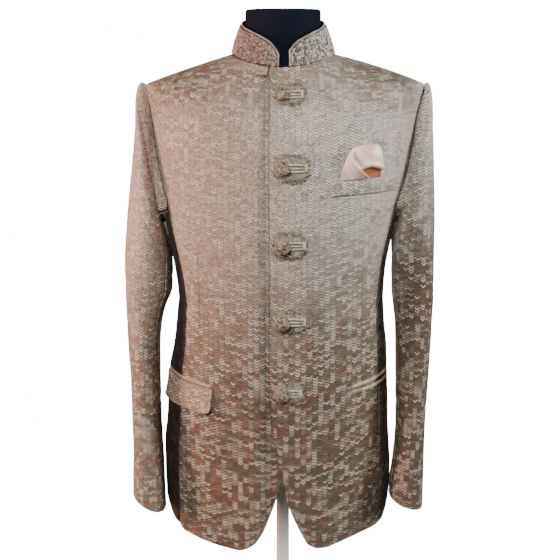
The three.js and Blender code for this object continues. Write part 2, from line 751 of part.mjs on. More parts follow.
// Neck strip follows the neckline of the under front
const stripOuter = [];
const stripInner = [];
for (let i = 0; i <= 1; i += 1) {
  stripOuter.push([]);
  stripInner.push([]);
  for (let j = 0; j <= 8; j += 1) {
    const deg = lerp(STRIP_FROM, STRIP_TO, j / 8);
    const neckZ = bodyPoint(deg, NECK_H).z - 0.8;
    const h = ringAt(deg, neckZ - STRIP_DROP * (1 - i));
    const n = bodyNormal(deg, h);
    const p = bodyPoint(deg, h);
    stripOuter[i].push(p.clone().addScaledVector(n, LIFT + STRIP_THICK));
    stripInner[i].push(p.clone().addScaledVector(n, LIFT));
  }
}
add("neck_strip", shell(stripOuter, stripInner), pale);

add("breast_welt", applied(2, 8, (u, v) => {
  const deg = lerp(degOn(WELT.x0, WELT.low0), WELT.deg1, u);
  const z = lerp(lerp(WELT.low0, WELT.low1, u), lerp(WELT.top0, WELT.top1, u), v);
  return [deg, z, LIFT + WELT.thick];
}, LIFT), pale);

// Folded square puffed up out of the breast pocket
const squareLeft = curve(column(SQUARE_ROWS, 0), column(SQUARE_ROWS, 1));
const squareRight = curve(column(SQUARE_ROWS, 0), column(SQUARE_ROWS, 2));
const squareHigh = curve(column(SQUARE_ROWS, 0), column(SQUARE_ROWS, 3));
const SQUARE_TOP = SQUARE_ROWS[SQUARE_ROWS.length - 1][0];
add("pocket_square", applied(10, 11, (u, v) => {
  const z = lerp(SQUARE_ROWS[0][0], SQUARE_TOP, v);
  const x = lerp(squareLeft(z), squareRight(z), u);
  const across = Math.pow(Math.sin(Math.PI * lerp(0.06, 0.94, u)), 0.45);
  const ridge = SQUARE_RIDGE * Math.sin(u * 7 - v * 5);
  const hollow = SQUARE_HOLLOW * Math.exp(-(((u - 0.55) / 0.16) ** 2) - ((v - 0.24) / 0.13) ** 2);
  const high = Math.max(1.2, squareHigh(z) * across + (ridge - hollow) * across);
  const slant = lerp(0, 3.4, u) * (1 - v);
  return [degOn(x, z), z + slant, LIFT + high];
}, LIFT), satin);

function jet(spec, grow) {
  return applied(1, 7, (u, v) => {
    const deg = lerp(degOn(spec.x0, spec.z0), spec.deg1, u);
    const sag = grow * Math.sin(Math.PI * u);
    return [deg, lerp(spec.z0, spec.z1, u) + sag + spec.half * (2 * v - 1), LIFT + JET_THICK];
  }, LIFT);
}
add("flap_jet", jet(JET_FLAP, 0), pale);
add("jet_lower", jet(JET_LOWER, -1), pale);
add("jet_upper", jet(JET_UPPER, 0.6), pale);

// Pocket flap with a rounded front corner that lifts off the cloth
add("pocket_flap", applied(5, 11, (u, v) => {
  const deg = lerp(degOn(FLAP.x0, FLAP.z0), FLAP.deg1, u);
  const round = Math.max(0, 1 - u / FLAP_CORNER.share);
  const depth = FLAP.depth - FLAP_CORNER.rise * (1 - Math.sqrt(1 - round * round));
  const z = lerp(FLAP.z0, FLAP.z1, u) - depth * (1 - v) - 0.35;
  const ends = FLAP_CORNER.front * Math.exp(-u * 6) + FLAP_CORNER.outer * Math.exp(-(1 - u) * 5);
  return [deg, z, LIFT + FLAP.thick + (1 - v) * (1 - v) * (FLAP_CORNER.middle + ends)];
}, LIFT), cloth);

// Closures: patch, button on its shank, and the loop cord round the shank
function patchOutline(turn, halfX, halfZ) {
  const scallop = 1 + 0.07 * Math.cos(10 * rad(turn));
  const p = ovalPoint(turn, halfX, halfZ, 3.2, 0).multiplyScalar(scallop);
  return [p.x, p.y];
}

const PATCH_TURNS = 20;
CLOSURES.forEach(([z, left, right, high], index) => {
  const number = index + 1;
  const midX = (left + right) / 2;
  const spot = (x, height, off) => {
    const h = ringAtZ(x, height);
    const deg = degAtX(x, h);
    return bodyPoint(deg, h).addScaledVector(bodyNormal(deg, h), off);
  };
  const ring = (share, off) => {
    const out = [];
    for (let k = 0; k < PATCH_TURNS; k += 1) {
      const [x, dz] = patchOutline((360 * k) / PATCH_TURNS, (right - left) / 2, high / 2);
      out.push(spot(midX + x * share, z + dz * share, off));
    }
    return out;
  };
  const face = LIFT + PATCH_THICK;
  add(`patch_${number}`, stack([ring(0.5, LIFT), ring(1, LIFT), ring(1, face), ring(0.5, face)]), thread);

  const origin = spot(0, z, face + 0.3);
  const h = ringAtZ(0, z);
  const n = bodyNormal(0, h);
  const seat = new THREE.Group();
  seat.position.copy(origin);
  seat.quaternion.setFromUnitVectors(new THREE.Vector3(0, 0, 1), n);
  jacket.add(seat);

  const mid = BUTTON_RISE - 6.2;
  const profile = [
    [0, 0], [SHANK_RADIUS, 0], [SHANK_RADIUS, 2.9], [7, 3.6], [9.3, mid - 1.5], [BUTTON_RADIUS, mid + 0.6],
    [8.9, mid + 3.4], [6, mid + 5.4], [2.6, BUTTON_RISE - 0.2], [0, BUTTON_RISE],
  ].map(([r, up]) => new THREE.Vector2(r, up));
  const ball = new THREE.LatheGeometry(profile, 14);
  ball.rotateX(Math.PI / 2);
  const button = new THREE.Mesh(ball, new THREE.MeshStandardMaterial(thread));
  button.name = `button_${number}`;
  seat.add(button);

  const wrap = SHANK_RADIUS + CORD_RADIUS + 0.5;
  const reach = right - 5;
  const cordAt = (x, dz, lift) => new THREE.Vector3(x, dz, CORD_RADIUS + lift);
  const path = new THREE.CatmullRomCurve3([
    cordAt(reach, 4.2, 0.1), cordAt(reach * 0.6, 5, 0.4), cordAt(wrap * 0.9, wrap, 0.15),
    cordAt(0, wrap + 0.1, 0.1), cordAt(-wrap * 0.75, wrap * 0.72, 0.1), cordAt(-wrap, 0, 0.1),
    cordAt(-wrap * 0.75, -wrap * 0.72, 0.1), cordAt(0, -wrap - 0.1, 0.1),
    cordAt(wrap * 0.9, -wrap, 0.15), cordAt(reach * 0.6, -5, 0.4), cordAt(reach, -4.2, 0.1),
  ]);
  const section = new THREE.Shape();
  for (let k = 0; k < CORD_SIDES; k += 1) {
    const a = (2 * Math.PI * k) / CORD_SIDES;
    const x = CORD_RADIUS * 0.9 * Math.cos(a);
    const y = CORD_RADIUS * 0.9 * Math.sin(a);
    if (k === 0) {
      section.moveTo(x, y);
    } else {
      section.lineTo(x, y);
    }
  }
  section.closePath();
  const cord = new THREE.ExtrudeGeometry(section, { steps: CORD_STEPS, bevelEnabled: false, extrudePath: path });
  const loop = new THREE.Mesh(cord, new THREE.MeshStandardMaterial(pale));
  loop.name = `loop_${number}`;
  seat.add(loop);
});

// Dress form: the jacket's shape moved in, closed flat at the hips, with a flat-topped neck
const FORM_COLS = 32;
const formRows = [
  FORM_BOTTOM + FORM_EDGE_H, 345, 400, 450, 495, 530, 567, 610, 650, 690, 735, 785, 825, 860, 884, 897, 904, 914,
  928, 940,
];
function formRing(h, extra) {
  const ring = [];
  for (let j = 0; j < FORM_COLS; j += 1) {
    const deg = (360 * j) / FORM_COLS;
    const side = Math.abs(Math.sin(rad(deg)));
    const onShoulder = smooth(h, 880, 912) * Math.pow(side, 1.5);
    const clear = lerp(FORM_CLEAR, FORM_SHOULDER_CLEAR, onShoulder) + extra;
    const p = bodyPoint(deg, h);
    ring.push(p.addScaledVector(bodyNormal(deg, h), -clear));
  }
  return ring;
}
const formRings = [];
for (const [inset, up] of FORM_EDGE) {
  const ring = formRing(FORM_BOTTOM + FORM_EDGE_H, inset);
  formRings.push(ring.map((p) => new THREE.Vector3(p.x, p.y, FORM_BOTTOM + up)));
}
formRows.forEach((h) => formRings.push(formRing(h, 0)));
for (const [z, half, front, back, frontDrop, backDrop] of FORM_NECK) {
  const ring = [];
  for (let j = 0; j < FORM_COLS; j += 1) {
    const deg = (360 * j) / FORM_COLS;
    const c = Math.cos(rad(deg));
    const drop = c > 0 ? frontDrop : backDrop;
    ring.push(ovalPoint(deg, half, c > 0 ? front : back, 2.02, z - drop * c * c));
  }
  formRings.push(ring);
}
add("dress_form", stack(formRings), jersey);

const pole = new THREE.CylinderGeometry(POLE_RADIUS, POLE_RADIUS, FORM_BOTTOM - BASE_THICK - 0.6, 24);
pole.rotateX(Math.PI / 2);
add("form_pole", pole, enamel).position.z = (FORM_BOTTOM + BASE_THICK) / 2;

const baseProfile = [
  [0, 0], [BASE_RADIUS - 1.5, 0], [BASE_RADIUS, 1.5], [BASE_RADIUS, BASE_THICK - 2.5],
  [BASE_RADIUS - 2.5, BASE_THICK], [0, BASE_THICK],
].map(([r, up]) => new THREE.Vector2(r, up));
const base = new THREE.LatheGeometry(baseProfile, 36);
base.rotateX(Math.PI / 2);
add("stand_base", base, enamel);

export default jacket;
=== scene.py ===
import math

import bpy
import numpy as np
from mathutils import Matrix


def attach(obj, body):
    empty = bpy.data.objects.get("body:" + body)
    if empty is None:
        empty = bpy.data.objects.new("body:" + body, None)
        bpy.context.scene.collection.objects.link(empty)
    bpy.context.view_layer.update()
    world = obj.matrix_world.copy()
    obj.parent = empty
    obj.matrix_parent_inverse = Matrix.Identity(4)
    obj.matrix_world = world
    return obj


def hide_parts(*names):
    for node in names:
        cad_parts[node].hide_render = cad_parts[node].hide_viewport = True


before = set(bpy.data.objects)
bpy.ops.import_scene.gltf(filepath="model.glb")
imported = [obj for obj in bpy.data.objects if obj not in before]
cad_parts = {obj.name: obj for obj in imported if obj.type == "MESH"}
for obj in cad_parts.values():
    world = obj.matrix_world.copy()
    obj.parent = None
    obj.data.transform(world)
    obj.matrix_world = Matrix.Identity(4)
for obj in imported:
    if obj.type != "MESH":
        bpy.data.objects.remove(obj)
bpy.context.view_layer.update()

# Camera: a longish lens 1.85 m in front of the jacket and level with its collar, tipped down so
# that the hem is seen slightly from above.
scene = bpy.context.scene
lens = bpy.data.cameras.new("camera")
lens.sensor_width = 36.0
lens.lens = 74.53
lens.clip_start = 0.05
camera = bpy.data.objects.new("camera", lens)
camera.location = (-0.0047, -1.85, 0.963)
camera.rotation_euler = (math.radians(90 - 11.5), 0, 0)
scene.collection.objects.link(camera)
scene.camera = camera


# Studio: a round backdrop of backlit white acrylic, floor and wall in one sweep, which only the
# camera sees, so that it neither lights the jacket nor shows in it. Four softboxes light it.
def linear(code):
    """Linear colour, with alpha, of an sRGB hex code."""
    parts = [int(code[i:i + 2], 16) / 255 for i in (1, 3, 5)]
    return [p / 12.92 if p <= 0.04045 else ((p + 0.055) / 1.055) ** 2.4 for p in parts] + [1.0]


def node(tree, kind, values=(), **settings):
    """Adds a node: settings are its properties, values its sockets' numbers or the sockets to link."""
    made = tree.nodes.new(kind)
    for name, value in settings.items():
        setattr(made, name, value)
    for key, value in dict(values).items():
        if isinstance(value, bpy.types.NodeSocket):
            tree.links.new(value, made.inputs[key])
        else:
            made.inputs[key].default_value = value
    return made


def material(name, values=()):
    """A material with a Principled shader, its node tree and the shader, with its sockets set."""
    made = bpy.data.materials.new(name)
    made.use_nodes = True
    shader = made.node_tree.nodes["Principled BSDF"]
    for key, value in dict(values).items():
        shader.inputs[key].default_value = value
    return made, made.node_tree, shader


def in_object(tree):
    return node(tree, "ShaderNodeTexCoord").outputs["Object"]


def noise(tree, place, scale, detail=2.0, rough=0.5):
    return node(tree, "ShaderNodeTexNoise", {"Vector": place, "Scale": scale, "Detail": detail,
                                             "Roughness": rough}).outputs["Fac"]


def ramp(tree, value, low, high, out_low=0.0, out_high=1.0, kind="SMOOTHSTEP"):
    return node(tree, "ShaderNodeMapRange", {0: value, 1: low, 2: high, 3: out_low, 4: out_high},
                interpolation_type=kind).outputs[0]


def mix(tree, share, a, b):
    """a where share is 0 and b where it is 1."""
    return node(tree, "ShaderNodeMix", {0: share, 6: a, 7: b}, data_type="RGBA").outputs[2]


def relief(tree, shader, height, strength, depth):
    bump = node(tree, "ShaderNodeBump", {"Strength": strength, "Distance": depth, "Height": height})
    tree.links.new(bump.outputs[0], shader.inputs["Normal"])


def mesh_object(name, points, faces, look):
    """A mesh object from lists of points in metres and of faces."""
    data = bpy.data.meshes.new(name)
    data.from_pydata([tuple(p) for p in points], [], faces)
    data.validate()
    data.polygons.foreach_set("use_smooth", [True] * len(data.polygons))
    data.materials.append(look)
    made = bpy.data.objects.new(name, data)
    scene.collection.objects.link(made)
    return made


def ring_faces(rows, cols):
    """Faces between closed rings of points that follow one another."""
    return [(i * cols + j, i * cols + (j + 1) % cols, (i + 1) * cols + (j + 1) % cols, (i + 1) * cols + j)
            for i in range(rows - 1) for j in range(cols)]


acrylic = material("backlit_white_acrylic", {
    "Base Color": linear("#f4f4f3"), "Roughness": 0.9, "Specular IOR Level": 0.1,
    "Emission Color": linear("#ffffff"), "Emission Strength": 17.0})[0]
SWEEP = [(0.01, 0.0), (3.8, 0.0), (4.5, 0.08), (5.0, 0.4), (5.3, 1.0), (5.4, 6.0)]
ROUND = 96
turns = [2 * math.pi * k / ROUND for k in range(ROUND)]
points = [(r * math.cos(a), r * math.sin(a), z) for r, z in SWEEP for a in turns]
backdrop = mesh_object("backdrop", points, ring_faces(len(SWEEP), ROUND) + [tuple(range(ROUND))[::-1]],
                       acrylic)
backdrop.visible_diffuse = False
backdrop.visible_glossy = False

world = bpy.data.worlds.new("studio")
world.use_nodes = True
glow = world.node_tree.nodes["Background"].inputs
glow["Color"].default_value = linear("#ffffff")
glow["Strength"].default_value = 0.03
scene.world = world


def softbox(name, place, aim, size, power, colour="#ffffff"):
    """A rectangular lamp turned to its aim and hidden from the camera; metres and watts."""
    data = bpy.data.lights.new(name, "AREA")
    data.shape = "RECTANGLE"
    data.size, data.size_y = size
    data.energy = power
    data.color = linear(colour)[:3]
    made = bpy.data.objects.new(name, data)
    away = np.array(place, float) - np.array(aim, float)
    flat = math.hypot(away[0], away[1])
    made.location = place
    made.rotation_euler = (math.atan2(flat, away[2]), 0, math.atan2(away[0], -away[1]))
    made.visible_camera = False
    scene.collection.objects.link(made)


softbox("front_light", (-0.7, -2.85, 2.3), (0.03, 0.0, 0.72), (1.1, 1.0), 108)
softbox("side_light_left", (-2.35, -0.5, 1.0), (-0.2, 0.0, 0.62), (0.5, 1.6), 88, "#ffcdbb")
softbox("side_light_right", (2.35, -0.5, 1.35), (0.2, 0.0, 0.72), (0.5, 1.2), 62)
softbox("back_light", (0.3, 3.0, 1.0), (0.0, 0.0, 0.62), (1.6, 1.2), 95)

# Jacket body: front, side and back panels of a silk-faced jacquard suiting, cut and sewn into
# one shaped shell. The panels meet at pressed-open seams, and the fronts overlap and close left
# over right. Rings: height, right and left half width, front and back depth, squareness, and
# how far the ring falls at the centre front and back; millimetres.
BODY = np.array([
    [150, 178, 196, 121, 112, 2.4, 0, 0],
    [213, 177, 194.5, 121, 112, 2.4, 0, 0],
    [278, 179, 196, 121, 113, 2.4, 0, 0],
    [320, 176.5, 196, 120.5, 113, 2.4, 0, 0],
    [362, 174, 191.5, 120, 113, 2.4, 0, 0],
    [404, 173, 189, 119.5, 112, 2.4, 0, 0],
    [445, 171, 186, 119, 110, 2.4, 0, 0],
    [486, 169.5, 178, 118, 108, 2.4, 0, 0],
    [526, 165, 173, 119, 107, 2.4, 0, 0],
    [567, 163, 169.5, 121, 106, 2.4, 0, 0],
    [606, 165, 173.5, 124, 108, 2.4, 0, 0],
    [650, 172, 181, 127, 112, 2.4, 0, 0],
    [684, 179, 187, 129, 116, 2.4, 0, 0],
    [750, 195, 195, 129, 122, 2.4, 1, 1],
    [810, 204, 202, 127, 125, 2.4, 10, 6],
    [860, 211, 208, 122, 126, 2.35, 32, 14],
    [885, 217, 212, 119, 125, 2.3, 43, 19],
    [902, 221, 214, 116, 121, 2.3, 50, 22],
    [906, 214, 205, 114, 118, 2.25, 48.5, 20],
    [915, 191, 181, 108.5, 110, 2.2, 44, 12],
    [930, 147, 137, 97, 92, 2.12, 33, -1],
    [942, 105, 100, 87, 72, 2.07, 23.5, -11],
    [948, 81, 80, 82, 61, 2.05, 19, -16],
])
DEG_PER_RAD = 57.3
NECK_H = 948.0
SHOULDER_H = 902.0
WALL = 1.5
LIFT = 0.5
SEAM_GAP = 0.02


def bell(x, width):
    return np.exp(-(x / width) ** 2)


def cosd(deg):
    return np.cos(np.radians(deg))


def sind(deg):
    return np.sin(np.radians(deg))


def clamp(x):
    return np.clip(x, 0, 1)


def ease(t):
    return t * t * (3 - 2 * t)


def grid(cols, rows):
    return np.meshgrid(np.linspace(0, 1, cols), np.linspace(0, 1, rows))


def run(points, axis):
    """Way along an axis of a grid of points, from its first one."""
    steps = np.linalg.norm(np.diff(points, axis=axis), axis=-1)
    return np.pad(np.cumsum(steps, axis), [(int(k == axis), 0) for k in range(steps.ndim)])


def curve(xs, ys):
    """A smooth curve through a table, with no overshoot between its points."""
    xs, ys = np.asarray(xs, float), np.asarray(ys, float)
    step = np.diff(xs)
    slope = np.diff(ys) / step
    m = np.empty(len(xs))
    m[0], m[-1] = slope[0], slope[-1]
    for i in range(1, len(xs) - 1):
        if slope[i - 1] * slope[i] <= 0:
            m[i] = 0
        else:
            w1, w2 = 2 * step[i] + step[i - 1], step[i] + 2 * step[i - 1]
            m[i] = (w1 + w2) / (w1 / slope[i - 1] + w2 / slope[i])

    def at(x):
        x = np.asarray(x, float)
        i = np.clip(np.searchsorted(xs, x, side="left") - 1, 0, len(xs) - 2)
        t = clamp((x - xs[i]) / step[i])
        return ((1 + 2 * t) * (1 - t) ** 2 * ys[i] + t * (1 - t) ** 2 * step[i] * m[i]
                + t * t * (3 - 2 * t) * ys[i + 1] + t * t * (t - 1) * step[i] * m[i + 1])
    return at


body_curves = [curve(BODY[:, 0], BODY[:, k]) for k in range(1, 8)]


def oval(deg, half, depth, square, z):
    """Points of squared oval rings; angle 0 is the front, 90 the viewer's right."""
    s, c = sind(deg), cosd(deg)
    r = (np.abs(s / half) ** square + np.abs(c / depth) ** square) ** (-1 / square)
    return np.stack([r * s, -r * c, z + 0 * r], -1)


# Soft troughs in the skirt: angle, depth, width in degrees, height of the middle, reach
SKIRT_FOLDS = [
    (31, 1.6, 7, 300, 120), (-38, 2.0, 8, 290, 130), (-58, 1.7, 6, 330, 110), (56, 1.4, 6, 320, 100),
    (131, 2.2, 8, 280, 110), (158, 1.8, 7, 310, 120), (-127, 2.3, 8, 290, 120), (-152, 1.7, 7, 270, 110),
]


def ring_point(deg, h):
    right, left, front, back, square, front_drop, back_drop = [f(h) for f in body_curves]
    s, c = sind(deg), cosd(deg)
    p = oval(deg, np.where(s > 0, right, left), np.where(c > 0, front, back), square,
             h - np.where(c > 0, front_drop, back_drop) * c * c)
    turned = np.where(deg > 180, deg - 360, deg)
    inward = sum(d * bell(turned - at, w) * bell(h - mid, reach) for at, d, w, mid, reach in SKIRT_FOLDS)
    flat = np.hypot(p[..., 0], p[..., 1])
    p[..., 0] -= p[..., 0] / flat * inward
    p[..., 1] -= p[..., 1] / flat * inward
    return p


def body_point(deg, h):
    """The jacket's outer surface before its small creases."""
    deg, h = np.broadcast_arrays(np.asarray(deg, float), np.asarray(h, float))
    away = 1 - np.abs(sind(deg)) ** 6
    reach = np.clip(np.minimum(np.minimum(28 * away, NECK_H - h), h - BODY[0, 0]), 0, None)
    return sum(w / 9 * ring_point(deg, h + reach * (k - 2) / 2) for k, w in enumerate((1, 2, 3, 2, 1)))


def unit(v):
    return v / np.maximum(np.linalg.norm(v, axis=-1, keepdims=True), 1e-9)


def body_normal(deg, h):
    d = 0.6
    low, high = np.maximum(h - d, BODY[0, 0]), np.minimum(h + d, NECK_H)
    du = body_point(deg + d, h) - body_point(deg - d, h)
    dv = body_point(deg, high) - body_point(deg, low)
    return unit(np.cross(du, dv))


def deg_at_x(x, h):
    half = np.where(np.asarray(x) > 0, body_curves[0](h), body_curves[1](h))
    depth, square = body_curves[2](h), body_curves[4](h)
    y = depth * (1 - np.clip(np.abs(x) / half, 0, 0.99999) ** square) ** (1 / square)
    return np.degrees(np.arctan2(x, y))


def settle(z, deg_of):
    """Ring height of a front point of real height z; deg_of gives its angle at a ring height."""
    h = np.asarray(z, float)
    for _ in range(12):
        h = z + body_curves[5](h) * cosd(deg_of(h)) ** 2
    return h


def ring_at(deg, z):
    return settle(z, lambda h: deg)


def ring_on(x, z):
    return settle(z, lambda h: deg_at_x(x, h))


def deg_on(x, z):
    return deg_at_x(x, ring_on(x, z))


MM_PER_DEG = 2.4
# Creases of the worn cloth: angle, height, lean from upright in degrees, half length and half
# width in mm, depth. They pull from the pockets, the armholes and the waist.
CREASES = [
    (44, 452, 62, 34, 5.0, 1.3), (40, 462, 40, 42, 5.5, 1.1), (52, 470, 30, 40, 5.0, 1.2),
    (60, 424, -50, 30, 5.0, 1.3), (50, 412, -68, 36, 5.0, 1.1), (36, 420, -75, 30, 5.0, 0.8),
    (-40, 468, -48, 40, 6.0, 1.0), (-55, 478, -35, 38, 6.0, 1.1), (-44, 366, 70, 30, 6.0, 0.8),
    (-60, 560, 80, 40, 7.0, 1.1), (58, 566, -80, 42, 7.0, 1.1), (-66, 535, 70, 30, 6.0, 0.9),
    (-58, 676, -38, 46, 7.5, 1.5), (-62, 712, -24, 44, 6.5, 1.4), (60, 680, 38, 46, 7.5, 1.5),
    (64, 716, 22, 40, 6.0, 1.2), (-50, 800, -16, 52, 9.0, 1.2), (54, 806, 15, 50, 9.0, 1.1),
    (-30, 870, -70, 40, 8.0, 0.9), (34, 872, 68, 38, 8.0, 0.9), (-12, 858, 35, 34, 6.0, 0.6),
    (9, 838, -30, 30, 6.0, 0.6), (8, 610, 4, 60, 8.0, 0.6), (-14, 640, 7, 70, 9.0, 0.7),
    (118, 700, -34, 50, 8.0, 1.6), (124, 742, -22, 48, 8.0, 1.3), (-119, 704, 34, 50, 8.0, 1.6),
    (-126, 745, 24, 46, 8.0, 1.3), (150, 590, 78, 46, 8.0, 1.3), (-150, 596, -80, 44, 8.0, 1.2),
    (168, 640, 82, 40, 8.0, 1.0), (-166, 560, 84, 40, 8.0, 1.0), (140, 540, 66, 40, 7.0, 1.0),
    (-138, 536, -62, 40, 7.0, 1.0), (174, 905, 88, 44, 8.0, 1.0), (-172, 903, 88, 44, 8.0, 1.0),
    (96, 560, 85, 30, 6.0, 0.9), (-94, 556, 84, 30, 6.0, 0.9), (100, 470, 20, 50, 8.0, 0.9),
    (-101, 462, -22, 50, 8.0, 0.9),
]


def crease_depth(deg, h, creases, scale):
    """Depth of all the creases: each a trough between two low soft ridges. scale: mm per degree."""
    total = np.zeros(np.broadcast(deg, h).shape)
    for at, mid, lean, length, width, depth in creases:
        a, b = (deg - at) * scale, h - mid
        s, c = math.sin(math.radians(lean)), math.cos(math.radians(lean))
        along, across = a * s + b * c, a * c - b * s
        bend = across + 0.0035 * along ** 2
        ends = bell(along, length)
        shape = (bell(bend, width) - 0.45 * bell(bend - 2.1 * width, 1.3 * width)
                 - 0.3 * bell(bend + 2.2 * width, 1.4 * width))
        total = total + depth * ends * shape
    return total


def shell_faces(rows, cols):
    """Faces of a closed shell between an outer and an inner grid of points."""
    n = rows * cols
    at = np.arange(n).reshape(rows, cols)
    a, b, c, d = at[:-1, :-1], at[:-1, 1:], at[1:, 1:], at[1:, :-1]
    first, last, left, right = at[0], at[-1], at[:, 0], at[:, -1]
    faces = []
    for pairs in ([(a, b, c, d), (n + a, n + d, n + c, n + b)],
                  [(first[1:], first[:-1], n + first[:-1], n + first[1:]),
                   (last[:-1], last[1:], n + last[1:], n + last[:-1])],
                  [(left[:-1], left[1:], n + left[1:], n + left[:-1]),
                   (right[1:], right[:-1], n + right[:-1], n + right[1:])]):
        faces += np.stack([np.stack(quad, -1) for quad in pairs], -2).reshape(-1, 4).tolist()
    return faces


def cloth_piece(stands_for, kind, outer, inner, grain, look):
    """A thin cloth shell for a node. grain holds each outer point's place on the flat cloth, in mm."""
    rows, cols = outer.shape[:2]
    points = np.concatenate([outer.reshape(-1, 3), inner.reshape(-1, 3)]) / 1000
    faces = shell_faces(rows, cols)
    a, b, c = points[list(faces[0][:3])]
    if np.dot(np.cross(b - a, c - a), points[0] - points[rows * cols]) < 0:
        faces = [tuple(reversed(f)) for f in faces]
    made = mesh_object("%s_%s" % (stands_for, kind), points, faces, look)
    layer = made.data.uv_layers.new(name="grain")
    flat = np.concatenate([grain.reshape(-1, 2), grain.reshape(-1, 2)]) / 1000
    index = np.empty(len(made.data.loops), int)
    made.data.loops.foreach_get("vertex_index", index)
    layer.data.foreach_set("uv", flat[index].ravel())
    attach(made, "root")
    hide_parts(stands_for)
    return made


def grain_of(outer, u0, v0):
    """Place of each point on the cloth: distance across from the first column, and up."""
    return np.stack([run(outer, 1) + u0, run(outer, 0) + v0], -1)


# Jacquard suiting: a dull taupe ground with short pale silk strokes that meet in V's, stacked in
# columns, thick in some patches and thin in others. The strokes catch the light and the ground
# stays matt. Painted shade darkens the cloth toward the hem, over the shoulders and on the
# turned-in side of an arm, and the right half is painted paler and greyer for the light on it.
V_WIDTH, V_PITCH, V_RISE = 0.0092, 0.0045, 0.009


def jacquard(name, tones, inner_arm_shade=0.0, seam_shade=0.0):
    """tones: the ground, the silk and the right half's ground, each lit and in painted shade, then two hues.
    The last two numbers set the painted shade inside an arm and toward a side body's front seam.
    """
    look, tree, shader = material(name, {"Specular IOR Level": 0.22, "Sheen Weight": 0.03,
                                         "Sheen Roughness": 0.45})
    tones = [linear(tone) for tone in tones]
    grain = node(tree, "ShaderNodeUVMap", uv_map="grain").outputs[0]
    u, v, _ = node(tree, "ShaderNodeSeparateXYZ", {0: grain}).outputs
    x, y, z = node(tree, "ShaderNodeSeparateXYZ", {0: in_object(tree)}).outputs

    def calc(kind, a, b=0.0, c=0.0):
        return node(tree, "ShaderNodeMath", {0: a, 1: b, 2: c}, operation=kind).outputs[0]

    def times(a, b):
        return calc("MULTIPLY", a, b)

    def fit(a, scale, shift):
        return calc("MULTIPLY_ADD", a, scale, shift)

    def step(value, low, high, out_low=0.0, out_high=1.0):
        return ramp(tree, value, low, high, out_low, out_high)

    # The strokes: columns of V's, each stroke fading out at its ends
    shift = fit(noise(tree, grain, 90.0, 1.0), 0.0022, -0.0011)
    column = calc("DIVIDE", calc("ADD", u, shift), V_WIDTH)
    side = calc("ABSOLUTE", calc("SUBTRACT", calc("FRACT", column), 0.5))
    row = calc("DIVIDE", calc("SUBTRACT", v, times(side, V_RISE)), V_PITCH)
    line = calc("ABSOLUTE", calc("SUBTRACT", calc("FRACT", row), 0.5))
    ends = times(step(side, 0.38, 0.48, 1.0, 0.1), step(side, 0.0, 0.1, 0.75, 1.0))
    tick = times(step(line, 0.15, 0.28, 1.0, 0.0), ends)

    # Dense and thin patches, in runs down the columns, and one strength for each V
    stripe, level = calc("FLOOR", column), calc("FLOOR", row)
    stack = node(tree, "ShaderNodeCombineXYZ", {0: times(stripe, 7.31), 1: times(level, 0.17), 2: 3.7})
    broad = node(tree, "ShaderNodeMapping", {"Vector": grain, "Scale": (34.0, 20.0, 1.0)})
    patch = noise(tree, broad.outputs[0], 1.0)
    cell = node(tree, "ShaderNodeCombineXYZ", {0: stripe, 1: level})
    each = node(tree, "ShaderNodeTexWhiteNoise", {"Vector": cell.outputs[0]},
                noise_dimensions="3D").outputs["Value"]
    both = calc("ADD", times(noise(tree, stack.outputs[0], 1.0, 1.0), 0.55), times(patch, 0.45))
    dense = step(fit(each, 0.16, calc("SUBTRACT", both, 0.08)), 0.46, 0.54)

    # Painted shade: darker low down (from higher up on the right half and the viewer's right sleeve), over
    # the shoulders, and on the turned-in side of an arm
    right, out = step(x, -0.03, 0.1), calc("ABSOLUTE", x)
    height = fit(step(x, 0.165, 0.2), -0.12, calc("ADD", z, fit(patch, 0.16, -0.08)))
    low = step(calc("ADD", times(right, -0.08), height), 0.7, 0.36)
    high = step(calc("ADD", z, fit(patch, 0.08, -0.04)), 0.84, 0.93)
    wide = times(fit(step(out, 0.05, 0.17), 0.45, 0.55), step(out, 0.215, 0.195))
    dark = calc("MAXIMUM", low, times(high, wide))
    if inner_arm_shade:
        turned_in_shade = times(step(out, 0.222, 0.196), step(z, 0.86, 0.7))
        dark = calc("MAXIMUM", dark, times(turned_in_shade, inner_arm_shade))

    # Strokes show weaker on the left half and in the painted shade: painted sheen of the silk, over the
    # weave's own thick and thin patches
    plain = times(calc("SUBTRACT", 1.0, right), calc("SUBTRACT", 1.0, dark))
    full = fit(plain, -0.6, fit(dark, -0.3, 0.82))
    thin = fit(plain, -0.22, fit(dark, -0.28, 0.48))
    strength = times(fit(dense, full, thin), fit(calc("POWER", each, 1.4), 1.35, 0.3))
    show = calc("MINIMUM", times(tick, strength), 1.0)

    # Ground of two hues with short dark flecks, and the silk over it
    silk = mix(tree, dark, tones[2], tones[3])
    # The right half's ground is paler and greyer than the left's: painted light on that side
    ground = mix(tree, step(x, -0.12, 0.12), mix(tree, dark, tones[0], tones[1]),
                 mix(tree, dark, tones[4], tones[5]))
    hue = mix(tree, step(noise(tree, grain, 42.0), 0.36, 0.62), tones[6], tones[7])
    ground = mix(tree, fit(dark, 0.35, 0.15), ground, hue)
    fleck = noise(tree, grain, 230.0, 2.0, 0.8)
    shade = fit(times(dense, full), 0.6, times(step(fleck, 0.42, 0.58), 0.5))
    ground = mix(tree, calc("MINIMUM", shade, 1.0), ground, linear("#2e241d"))
    colour = mix(tree, show, ground, silk)
    # Painted shade: a side body darkened toward its front seam, where the sleeve shades it
    if seam_shade:
        colour = mix(tree, times(step(y, 0.0, -0.028), seam_shade), colour, linear("#24160e"))
    tree.links.new(colour, shader.inputs["Base Color"])
    tree.links.new(fit(show, -0.22, 0.78), shader.inputs["Roughness"])
    relief(tree, shader, calc("ADD", times(show, 0.7), times(fleck, 0.5)), 0.55, 0.0005)
    return look


